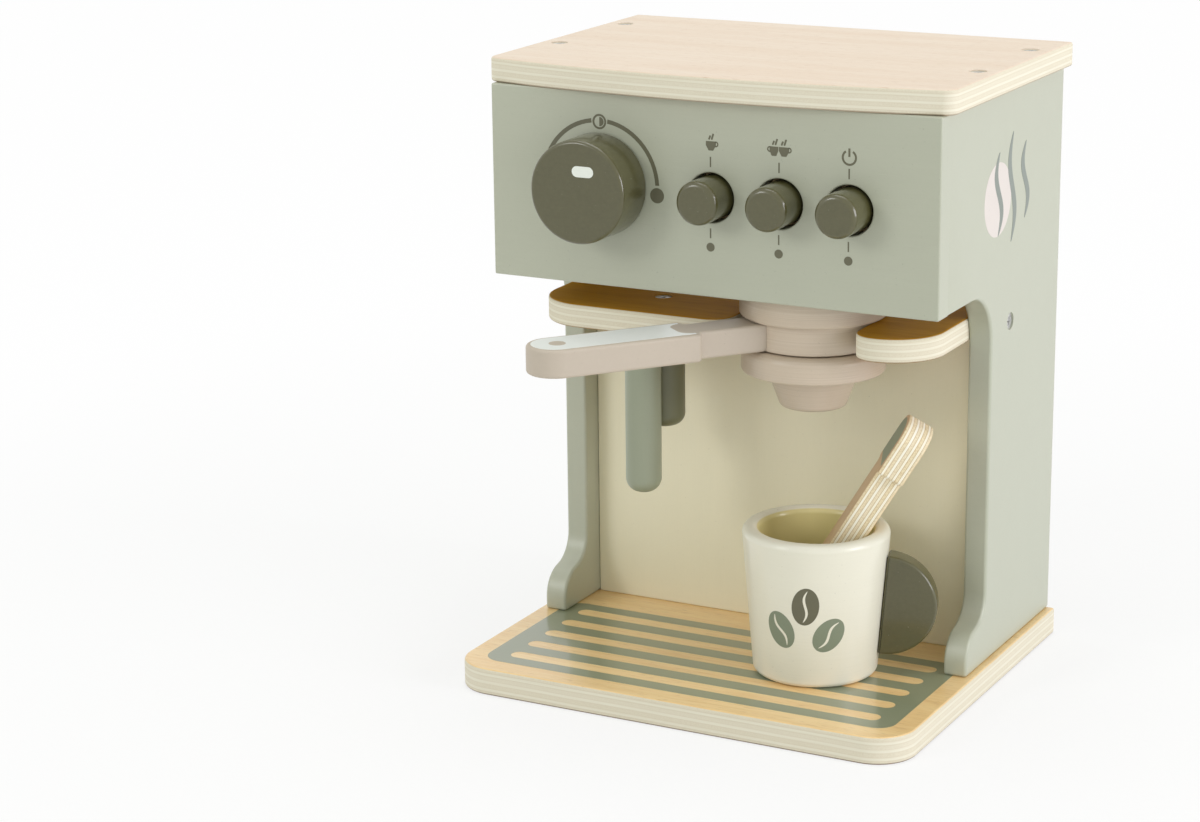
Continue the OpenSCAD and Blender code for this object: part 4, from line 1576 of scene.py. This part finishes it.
@dataclass
class Dial:
    """The turned knob with its works behind the panel."""

    front_edge: float = 1.6 * MM
    rear_edge: float = 0.8 * MM
    wheel_edge: float = 0.3 * MM
    wheel_step: float = 0.2 * MM
    mark_lift: float = 8.6 * MM
    mark_left: float = -1.8 * MM
    mark_right: float = 7.8 * MM
    mark_width: float = 4.4 * MM
    mark_corner: float = 2.18 * MM

    def build(self) -> None:
        """Builds the knob, its mark and its works."""
        turn_plug("dial_knob", "_turned", OLIVE, (self.front_edge, 6), (self.rear_edge, 5), 160)
        self.mark()
        wheel = node_copy("click_wheel")
        soften(wheel, self.wheel_edge, lambda edge: edge.calc_length() > self.wheel_step, 2)
        publish(wheel, "click_wheel_wood", "dial", ROD_WOOD, ["click_wheel"])
        dress("dial_axle", ROD_WOOD)
        for node in ("dial_screw", "click_spring", "click_screw"):
            dress(node, STEEL)

    def mark(self) -> None:
        """Prints the oblong mark on the knob's face."""
        box = box_of("dial_knob")
        x, z = box.middle.x, box.middle.z + self.mark_lift
        mark = Print()
        mark.bar((x + self.mark_left, z), (x + self.mark_right, z), self.mark_width, self.mark_corner)
        mark.lay(facing_front(box.low.y), "dial_mark", "dial", PALE_PRINT)


@dataclass
class PushButtons:
    """Three sprung push buttons, each with a cap, a stem, a collar and a spring."""

    cap_front: float = 2.4 * MM
    cap_rear: float = 0.2 * MM
    collar_edge: float = 0.4 * MM
    wire_radius: float = 0.6 * MM
    turns: int = 6
    steps_a_turn: int = 24
    squeezed: float = 14 / 22

    def build(self) -> None:
        """Builds the three buttons."""
        collar = (self.collar_edge, 3)
        for kind in ("single", "double", "power"):
            turn_plug("button_" + kind, "_cap", OLIVE, (self.cap_front, 7), (self.cap_rear, 2), 96)
            turn_plug("button_collar_" + kind, "_wood", ROD_WOOD, collar, collar, 64)
            self.spring(kind)
            dress("button_stem_" + kind, ROD_WOOD)

    def spring(self, kind: str) -> None:
        """Winds a spring at its rest length, with a mesh of its own.

        Args:
            kind: Which button it belongs to.
        """
        node = "button_spring_" + kind
        box = box_of(node)
        mean = box.size.x / 2 - self.wire_radius
        steps = self.steps_a_turn * self.turns
        rise = (box.size.y - 2 * self.wire_radius) / steps
        shape = bmesh.new()
        start = Vector((box.middle.x + mean, box.low.y + self.wire_radius, box.middle.z))
        ring = bmesh.ops.create_circle(
            shape, cap_ends=False, segments=10, radius=self.wire_radius, matrix=Matrix.Translation(start))
        bmesh.ops.spin(
            shape, geom=ring["verts"] + shape.edges[:], cent=(box.middle.x, start.y, box.middle.z),
            axis=(0, 1, 0), dvec=(0, rise, 0), angle=-FULL_TURN * self.turns, steps=steps, use_merge=False,
            use_duplicate=False)
        bmesh.ops.holes_fill(shape, edges=[edge for edge in shape.edges if edge.is_boundary], sides=12)
        piece = publish(shape, node + "_coil", body_of(node), SPRING_STEEL, [node])
        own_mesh(piece)


# ---------------------------------------------------------------- filter holder


@dataclass
class FilterHolder:
    """The turned filter holder with its lever, which swings and pulls out."""

    disc_edge: float = 1.4 * MM
    pad_edge: float = 0.8 * MM
    pad_radius: float = 21.5 * MM
    pad_depth: float = 5 * MM
    flange_top_edge: float = 3.5 * MM
    flange_low_edge: float = 1.2 * MM
    nozzle_edge: float = 2 * MM
    nozzle_low_radius: float = 13.5 * MM
    boss_radius: float = 10 * MM
    boss_height: float = 0.5 * MM
    neck_edge: float = 0.5 * MM
    lever_edge: float = 1.3 * MM
    lever_turn: float = math.radians(-39)
    grip_start: float = 54.5 * MM
    grip_length: float = 125 * MM
    grip_half: float = 11.5 * MM
    field_inset: float = 1.9 * MM
    field_gap: float = 2.2 * MM
    bite_half: float = 8.2 * MM
    bite_depth: float = 5.4 * MM
    dot_place: float = 12.5 * MM
    dot_radius: float = 3.4 * MM
    shank_radius: float = 2.5 * MM
    head_height: float = 2 * MM
    head_dome: float = 1.2 * MM
    socket_radius: float = 1.7 * MM
    socket_depth: float = 1.4 * MM
    centre: Vector = field(init=False)
    finish: TurnedPaint = field(init=False)

    def __post_init__(self) -> None:
        """Finds the holder's axis and makes the finish of its turned pieces."""
        neck = box_of("filter_neck").middle
        self.centre = Vector((neck.x, neck.y, 0))
        self.finish = TurnedPaint(
            "TaupeTurned", "taupe_paint", (204, 187, 166), 0.48, 0.5, 0.3, coat=0.35, coat_rough=0.22,
            centre=tuple(self.centre))

    def build(self) -> None:
        """Builds every piece of the holder."""
        self.disc()
        self.neck()
        self.flange()
        self.nozzle()
        self.lever()
        dress("lever_pin", ROD_WOOD)
        self.bolt()

    def spun(self, node: str, profile: Sequence[Corner]) -> None:
        """Turns a piece whose profile starts at the node's lower face."""
        shape = turned(profile, self.centre + Vector((0, 0, box_of(node).low.z)), Axis.UP, 160)
        publish(shape, node + "_turned", body_of(node), self.finish, [node])

    def disc(self) -> None:
        """Turns the upper disc, with the recess for a coffee pad and the boss under it."""
        box, neck = box_of("filter_cup"), box_of("filter_neck")
        radius, top, boss = box.size.x / 2, box.size.z, neck.high.z - box.low.z
        step = max(boss, self.boss_height)
        self.spun("filter_cup", [
            Corner(0, 0), Corner(self.boss_radius, 0), Corner(self.boss_radius, step),
            Corner(radius, step, self.disc_edge), Corner(radius, top, self.disc_edge),
            Corner(self.pad_radius, top, self.pad_edge, 3), Corner(self.pad_radius, top - self.pad_depth),
            Corner(0, top - self.pad_depth)])

    def neck(self) -> None:
        """Turns the neck that runs in the shelf's notch."""
        box = box_of("filter_neck")
        radius, top = box.size.x / 2, box.size.z
        self.spun("filter_neck", [
            Corner(0, 0), Corner(radius, 0, self.neck_edge, 3), Corner(radius, top, self.neck_edge, 3),
            Corner(0, top)])

    def flange(self) -> None:
        """Turns the flange under the neck, with the boss on it."""
        box = box_of("filter_flange")
        radius, top = box.size.x / 2, box.size.z
        step = top - self.boss_height
        self.spun("filter_flange", [
            Corner(0, 0), Corner(radius, 0, self.flange_low_edge),
            Corner(radius, step, self.flange_top_edge, 8), Corner(self.boss_radius, step),
            Corner(self.boss_radius, top), Corner(0, top)])

    def nozzle(self) -> None:
        """Turns the tapered nozzle."""
        box = box_of("filter_nozzle")
        radius, top = box.size.x / 2, box.size.z
        self.spun("filter_nozzle", [
            Corner(0, 0), Corner(self.nozzle_low_radius, 0, self.nozzle_edge, 6), Corner(radius, top),
            Corner(0, top)])

    def lever(self) -> None:
        """Softens the lever and prints its pale field and the dot near its tip."""
        shape = node_copy("filter_lever")
        top = box_of("filter_lever").high.z
        reach = box_of("filter_neck").size.x / 2 + 0.5 * MM
        long_edge = 5 * MM

        def outer(edge: BMEdge) -> bool:
            """Says whether an edge lies clear of the joint with the neck and of the pin's bore."""
            spots = [(vert.co - self.centre).to_2d().length for vert in edge.verts]
            return min(spots) > reach or (max(spots) > reach and edge.calc_length() > long_edge)

        soften(shape, self.lever_edge, outer, 4)
        publish(shape, "filter_lever_arm", body_of("filter_lever"), TAUPE_FLAT, ["filter_lever"])
        place = (Matrix.Translation(self.centre + Vector((0, 0, top)))
                 @ Matrix.Rotation(self.lever_turn, 4, "Z"))
        half, bite = self.grip_half - self.field_inset, self.bite_half
        near, far = -self.grip_start - self.field_gap, self.field_inset - self.grip_length
        deep, bite_corner = near - self.bite_depth, self.bite_depth * 0.99
        end = half * ROUND_END
        pale = Print()
        pale.polygon([
            (-half, near), (-half, far, end), (half, far, end), (half, near),
            (bite, near), (bite, deep, bite_corner), (-bite, deep, bite_corner), (-bite, near)], 16)
        pale.lay(place, "lever_print", "filter_holder", LEVER_PRINT)
        dot = Print()
        dot.disc(0, self.dot_place - self.grip_length, self.dot_radius)
        dot.lay(place, "lever_dot", "filter_holder", TAUPE_FLAT, TOP_LAYER)

    def bolt(self) -> None:
        """Turns the bolt with its domed head and round recess."""
        node = "filter_screw"
        box = box_of(node)
        shank, head, top = self.shank_radius, box.size.x / 2, box.size.z
        under, floor = top - self.head_height, top - self.socket_depth
        shape = turned([
            Corner(0, 0), Corner(shank, 0, 0.5 * MM, 3), Corner(shank, under), Corner(head, under),
            Corner(head, top, self.head_dome), Corner(self.socket_radius, top),
            Corner(self.socket_radius, floor), Corner(0, floor)],
            self.centre + Vector((0, 0, box.low.z)), Axis.UP, 48)
        publish(shape, node + "_turned", body_of(node), STEEL, [node])


# ---------------------------------------------------------------- cup and spoon


@dataclass
class Cup:
    """The turned cup with its disc handle and a printed motif of coffee beans."""

    foot_edge: float = 2.6 * MM
    wall: float = 7 * MM
    taper: float = 3.4 * MM
    floor: float = 9 * MM
    floor_edge: float = 3 * MM
    lip: float = 3.1 * MM
    foot_radius: float = 25.5 * MM
    handle_edge: float = 1.2 * MM
    motif_turn: float = math.radians(13)
    motif_height: float = 29 * MM
    bean_half: Point = (5.6 * MM, 8.1 * MM)
    slit_half: float = 6.9 * MM
    slit_swing: float = 0.95 * MM
    slit_width: float = 1.15 * MM
    bean_sunk: float = 0.12 * MM
    slit_sunk: float = 0.1 * MM
    strip: float = 1.2 * MM
    rim_radius: float = field(init=False)
    height: float = field(init=False)
    centre: Vector = field(init=False)
    finish: TurnedPaint = field(init=False)

    def __post_init__(self) -> None:
        """Measures the cup and makes its finish."""
        box = box_of("cup_body")
        self.rim_radius = box.size.x / 2
        self.height = box.size.z
        self.centre = Vector((box.middle.x, box.middle.y, box.low.z))
        # The inside colour is painted shade and warm bounced light in the cup
        self.finish = TurnedPaint(
            "CupPaint", "cup_paint", (237, 234, 217), 0.3, 0.35, 0.12, coat=0.2,
            centre=tuple(self.centre), rings=0.12, inside=(224, 212, 152))

    def build(self) -> None:
        """Builds the cup's pieces."""
        self.body()
        self.handle()
        self.motif()
        dress("cup_handle_pin", ROD_WOOD)

    def wall_radius(self, z: float) -> float:
        """Returns the cup's outer radius at a height above its foot."""
        return self.foot_radius + (self.rim_radius - self.foot_radius) * z / self.height

    def body(self) -> None:
        """Turns the cup."""
        inner = self.rim_radius - self.wall
        profile = [
            Corner(0, 0), Corner(self.foot_radius, 0, self.foot_edge, 7),
            Corner(self.rim_radius, self.height, self.lip, 8), Corner(inner, self.height, self.lip, 8),
            Corner(inner - self.taper, self.floor, self.floor_edge, 7), Corner(0, self.floor)]
        shape = turned(profile, self.centre, Axis.UP, 160)
        publish(shape, "cup_body_turned", "cup", self.finish, ["cup_body"])

    def handle(self) -> None:
        """Softens the disc handle."""
        shape = node_copy("cup_handle")
        box = box_of("cup_handle")
        rim = box.size.z / 2 - 1 * MM
        clear = self.wall_radius(self.height) + 0.5 * MM

        def outer(edge: BMEdge) -> bool:
            """Says whether an edge runs round the disc, away from the saddle on the cup."""
            spots = [(vert.co - self.centre).to_2d().length for vert in edge.verts]
            return min(spots) > clear or max(abs(vert.co.z - box.middle.z) for vert in edge.verts) > rim

        soften(shape, self.handle_edge, outer, 4)
        publish(shape, "cup_handle_disc", "cup", OLIVE, ["cup_handle"])

    def wrap(self, drawing: Print, name: str, finish: Finish, thickness: float, sunk: float) -> None:
        """Lays a drawing on the cup's wall: its X runs round the cup and its Y up it.

        Args:
            drawing: The drawing, with its middle at the motif's middle.
            name: Name of the piece.
            finish: Its finish.
            thickness: Height of its face above the wall.
            sunk: Depth of its underside in the wall.
        """
        drawing.slice(self.strip, 0)
        drawing.solid(thickness, sunk)
        for vert in drawing.shape.verts:
            height = self.motif_height + vert.co.y
            radius = self.wall_radius(height)
            angle = self.motif_turn + vert.co.x / radius - math.pi / 2
            away = Vector((math.cos(angle), math.sin(angle), 0)) * (radius + vert.co.z)
            vert.co = self.centre + away + Vector((0, 0, height))
        publish(drawing.shape, name, "cup", finish)

    def motif(self) -> None:
        """Prints three coffee beans on the cup."""
        # Place in millimetres, tilt in degrees and paint of each bean
        beans = ((-9.4, -4.2, 24, GREEN_PRINT), (1.2, 7.0, -8, DARK_PRINT), (10.6, -5.4, -38, GREEN_PRINT))
        wide, high = self.bean_half
        for number, (x, y, tilt, finish) in enumerate(beans):
            place = Matrix.Translation((x * MM, y * MM, 0)) @ Matrix.Rotation(math.radians(tilt), 4, "Z")
            bean = Print()
            for vert in bean.disc(0, 0, 1.0, 40):
                vert.co = place @ Vector((vert.co.x * wide, vert.co.y * high, 0))
            self.wrap(bean, f"bean_print_{number}", finish, LAYER, self.bean_sunk)
            slit = Print()
            slit.wave((0, -self.slit_half), 2 * self.slit_half, self.slit_swing, self.slit_width, 1.0)
            bmesh.ops.transform(slit.shape, matrix=place, verts=slit.shape.verts)
            self.wrap(slit, f"bean_slit_{number}", self.finish, TOP_LAYER, self.slit_sunk)


@dataclass
class Spoon:
    """The plywood spoon that stands in the cup."""

    edge: float = 0.9 * MM
    lean: float = math.radians(31)
    turn: float = math.radians(11)
    roll: float = math.radians(10)
    reach: float = 14.5 * MM
    thickness: float = 11.5 * MM
    length: float = 111 * MM
    floor_gap: float = 0.3 * MM
    bowl_radius: float = 13 * MM
    print_inset: float = 3 * MM
    tag_inset: float = 1.6 * MM
    tag_foot: float = 1 * MM
    tag_end: float = 7.4 * MM
    grip_half: float = 10.5 * MM
    grip_length: float = 24 * MM

    def frame_of(self) -> Matrix:
        """Works out the spoon's own frame: X through its thickness, Y across and Z along it.

        Returns:
            The matrix that takes that frame to the room's.
        """
        cup = box_of("cup_body")
        foot = Vector((cup.middle.x, cup.middle.y, cup.low.z))
        up = Cup.floor + self.floor_gap + self.thickness / 2 * math.sin(self.lean)
        return (Matrix.Translation(foot) @ Matrix.Rotation(self.turn, 4, "Z")
                @ Matrix.Translation((-self.reach, 0, up)) @ Matrix.Rotation(self.lean, 4, "Y")
                @ Matrix.Rotation(self.roll, 4, "Z"))

    def build(self) -> None:
        """Builds the spoon and its two prints."""
        own = self.frame_of()
        # The finish measures its depth along Z and its grain along X
        to_finish = own @ Matrix.Translation((-self.thickness / 2, 0, 0)) @ Matrix(
            ((0, 0, 1, 0), (0, 1, 0, 0), (1, 0, 0, 0), (0, 0, 0, 1)))
        mirrored = to_finish @ Matrix.Diagonal((1, -1, 1, 1))
        finish = Plywood(
            "SpoonPly", "birch_ply", face=(240, 216, 180), face_dark=(228, 198, 156),
            light=(255, 252, 242), middle=(236, 220, 180), dark=(212, 186, 134), glue=(142, 92, 46),
            glue_share=0.7, scorch=0.0, layers=9.0, thickness=self.thickness,
            place=tuple(mirrored.translation), turn=tuple(mirrored.to_euler("XYZ")))
        shape = node_copy("spoon")
        soften(shape, self.edge, lambda edge: True, 3)
        publish(shape, "spoon_ply", "spoon", finish, ["spoon"])
        # The upper face is the one towards the spoon's own -X: the drawing's X runs across, its Y along
        upper = own @ Matrix.Translation((-self.thickness / 2, 0, 0)) @ Matrix(
            ((0, 0, -1, 0), (-1, 0, 0, 0), (0, 1, 0, 0), (0, 0, 0, 1)))
        bowl = Print()
        bowl.disc(0, self.bowl_radius, self.bowl_radius - self.print_inset, 64)
        bowl.lay(upper, "spoon_bowl_print", "spoon", GREEN_PRINT)
        half, far = self.grip_half - self.tag_inset, self.length - self.tag_inset
        near = self.length - self.grip_length + self.print_inset
        tag = Print()
        tag.polygon([
            (-half, near, self.tag_foot), (half, near, self.tag_foot),
            (half, far, self.tag_end), (-half, far, self.tag_end)], 10)
        tag.lay(upper, "spoon_tag_print", "spoon", GREEN_PRINT)


# ---------------------------------------------------------------- studio


@dataclass
class Studio:
    """Camera, lamps, floor and world."""

    eye: tuple[float, float, float] = (0.5063, -1.0866, 0.4456)
    azimuth: float = math.radians(28.168)
    elevation: float = math.radians(15.61)
    roll: float = math.radians(-0.69)
    lens_mm: float = 89.363
    sensor_mm: float = 36.0
    world_strength: float = 0.6
    world_tint: Colour = (252, 255, 248)
    floor_half: float = 6.0
    floor_drop: float = 0.05 * MM
    floor_grey: float = 0.9
    floor_pale: float = 0.93
    shadow_reach: tuple[float, float] = (0.12, 0.7)
    shadow_share: tuple[float, float] = (0.72, 0.98)

    def build(self) -> None:
        """Sets the whole studio up."""
        self.camera()
        self.lamps()
        self.floor()
        self.world()
        view = bpy.context.scene.view_settings
        view.view_transform = "Standard"

    def camera(self) -> None:
        """Places the camera."""
        data = bpy.data.cameras.new("camera")
        data.lens, data.sensor_width, data.sensor_fit = self.lens_mm, self.sensor_mm, "HORIZONTAL"
        camera = bpy.data.objects.new("camera", data)
        bpy.context.scene.collection.objects.link(camera)
        camera.matrix_world = (
            Matrix.Translation(self.eye) @ Matrix.Rotation(self.azimuth, 4, "Z")
            @ Matrix.Rotation(math.pi / 2 - self.elevation, 4, "X") @ Matrix.Rotation(self.roll, 4, "Z"))
        bpy.context.scene.camera = camera

    def lamp(
        self, name: str, place: Sequence[float], target: Sequence[float], size: float, watts: float,
        colour: Colour = (255, 255, 255),
    ) -> None:
        """Adds a square soft box.

        Args:
            name: Its name.
            place: Where it stands.
            target: What it points at.
            size: Length of its side.
            watts: Its power.
            colour: Its colour.
        """
        data = bpy.data.lights.new(name, "AREA")
        data.shape, data.size, data.energy = "SQUARE", size, watts
        data.color = linear(colour)[:3]
        lamp = bpy.data.objects.new(name, data)
        bpy.context.scene.collection.objects.link(lamp)
        lamp.location = place
        lamp.rotation_mode = "QUATERNION"
        lamp.rotation_quaternion = (Vector(target) - Vector(place)).to_track_quat("-Z", "Y")

    def lamps(self) -> None:
        """Adds the three soft boxes."""
        self.lamp("key_left", (-0.85, -1.35, 0.87), (0, 0, 0.12), 0.55, 5.5)
        self.lamp("side_right", (1.5, -0.08, 0.5), (0.05, 0, 0.12), 0.7, 11.1, (250, 248, 255))
        self.lamp("overhead", (-0.1, 0.15, 1.5), (0, 0, 0.1), 1.0, 5.9)

    @staticmethod
    def seen(graph: Graph) -> bpy.types.NodeSocket:
        """Tells looking from lighting.

        Args:
            graph: The nodes of the floor or of the world.

        Returns:
            1 where the camera looks, also in a mirror or through glass, and 0 for the light it gives.
        """
        paths = graph.node("ShaderNodeLightPath")
        looked = graph.math("MAXIMUM", paths.outputs["Is Camera Ray"], paths.outputs["Is Glossy Ray"])
        return graph.math("MAXIMUM", looked, paths.outputs["Is Transmission Ray"])

    def floor(self) -> None:
        """Lays a pale floor, which looks white but for the soft shadow close to the object."""
        shape = bmesh.new()
        bmesh.ops.create_grid(shape, x_segments=1, y_segments=1, size=self.floor_half)
        bmesh.ops.translate(shape, verts=shape.verts, vec=(0, 0, -self.floor_drop))
        mesh = bpy.data.meshes.new("floor")
        shape.to_mesh(mesh)
        shape.free()
        floor = bpy.data.objects.new("floor", mesh)
        bpy.context.scene.collection.objects.link(floor)
        material = bpy.data.materials.new("FloorPaper")
        material.use_nodes = True
        graph = Graph(material.node_tree)
        shader = material.node_tree.nodes["Principled BSDF"]
        spot = graph.place(Vector())
        paper = graph.noise(spot, 400, 2)
        grey, pale = ((tone, tone, tone, 1) for tone in (self.floor_grey, self.floor_pale))
        graph.feed(shader.inputs["Base Color"], graph.blend(paper, grey, pale))
        shader.inputs["Roughness"].default_value = 0.9
        shader.inputs["Specular IOR Level"].default_value = 0.0
        glow = graph.node("ShaderNodeEmission")
        glow.inputs["Strength"].default_value = 1.0
        mix = graph.node("ShaderNodeMixShader")
        white = graph.ease(graph.vector("LENGTH", spot), *self.shadow_reach, *self.shadow_share)
        graph.feed(mix.inputs[0], graph.math("MULTIPLY", self.seen(graph), white))
        graph.feed(mix.inputs[1], shader.outputs[0])
        graph.feed(mix.inputs[2], glow.outputs[0])
        output = material.node_tree.nodes["Material Output"]
        graph.feed(output.inputs["Surface"], mix.outputs[0])
        mesh.materials.append(material)

    def world(self) -> None:
        """Makes the world a soft light that looks white."""
        world = bpy.data.worlds.new("studio")
        world.use_nodes = True
        bpy.context.scene.world = world
        graph = Graph(world.node_tree)
        background = world.node_tree.nodes["Background"]
        seen = self.seen(graph)
        graph.feed(background.inputs["Color"], graph.blend(seen, linear(self.world_tint), (1, 1, 1, 1)))
        strength = graph.ease(seen, 0.0, 1.0, self.world_strength, 1.0)
        graph.feed(background.inputs["Strength"], strength)


def main() -> None:
    """Builds the sub-assemblies and the studio in order."""
    logging.basicConfig(level=logging.INFO, format="%(name)s %(message)s")
    for part in (Housing(), ControlPrint(), Dial(), PushButtons(), FilterHolder(), Cup(), Spoon(), Studio()):
        LOG.info("building %s", type(part).__name__)
        part.build()


if __name__ == "__main__":
    main()
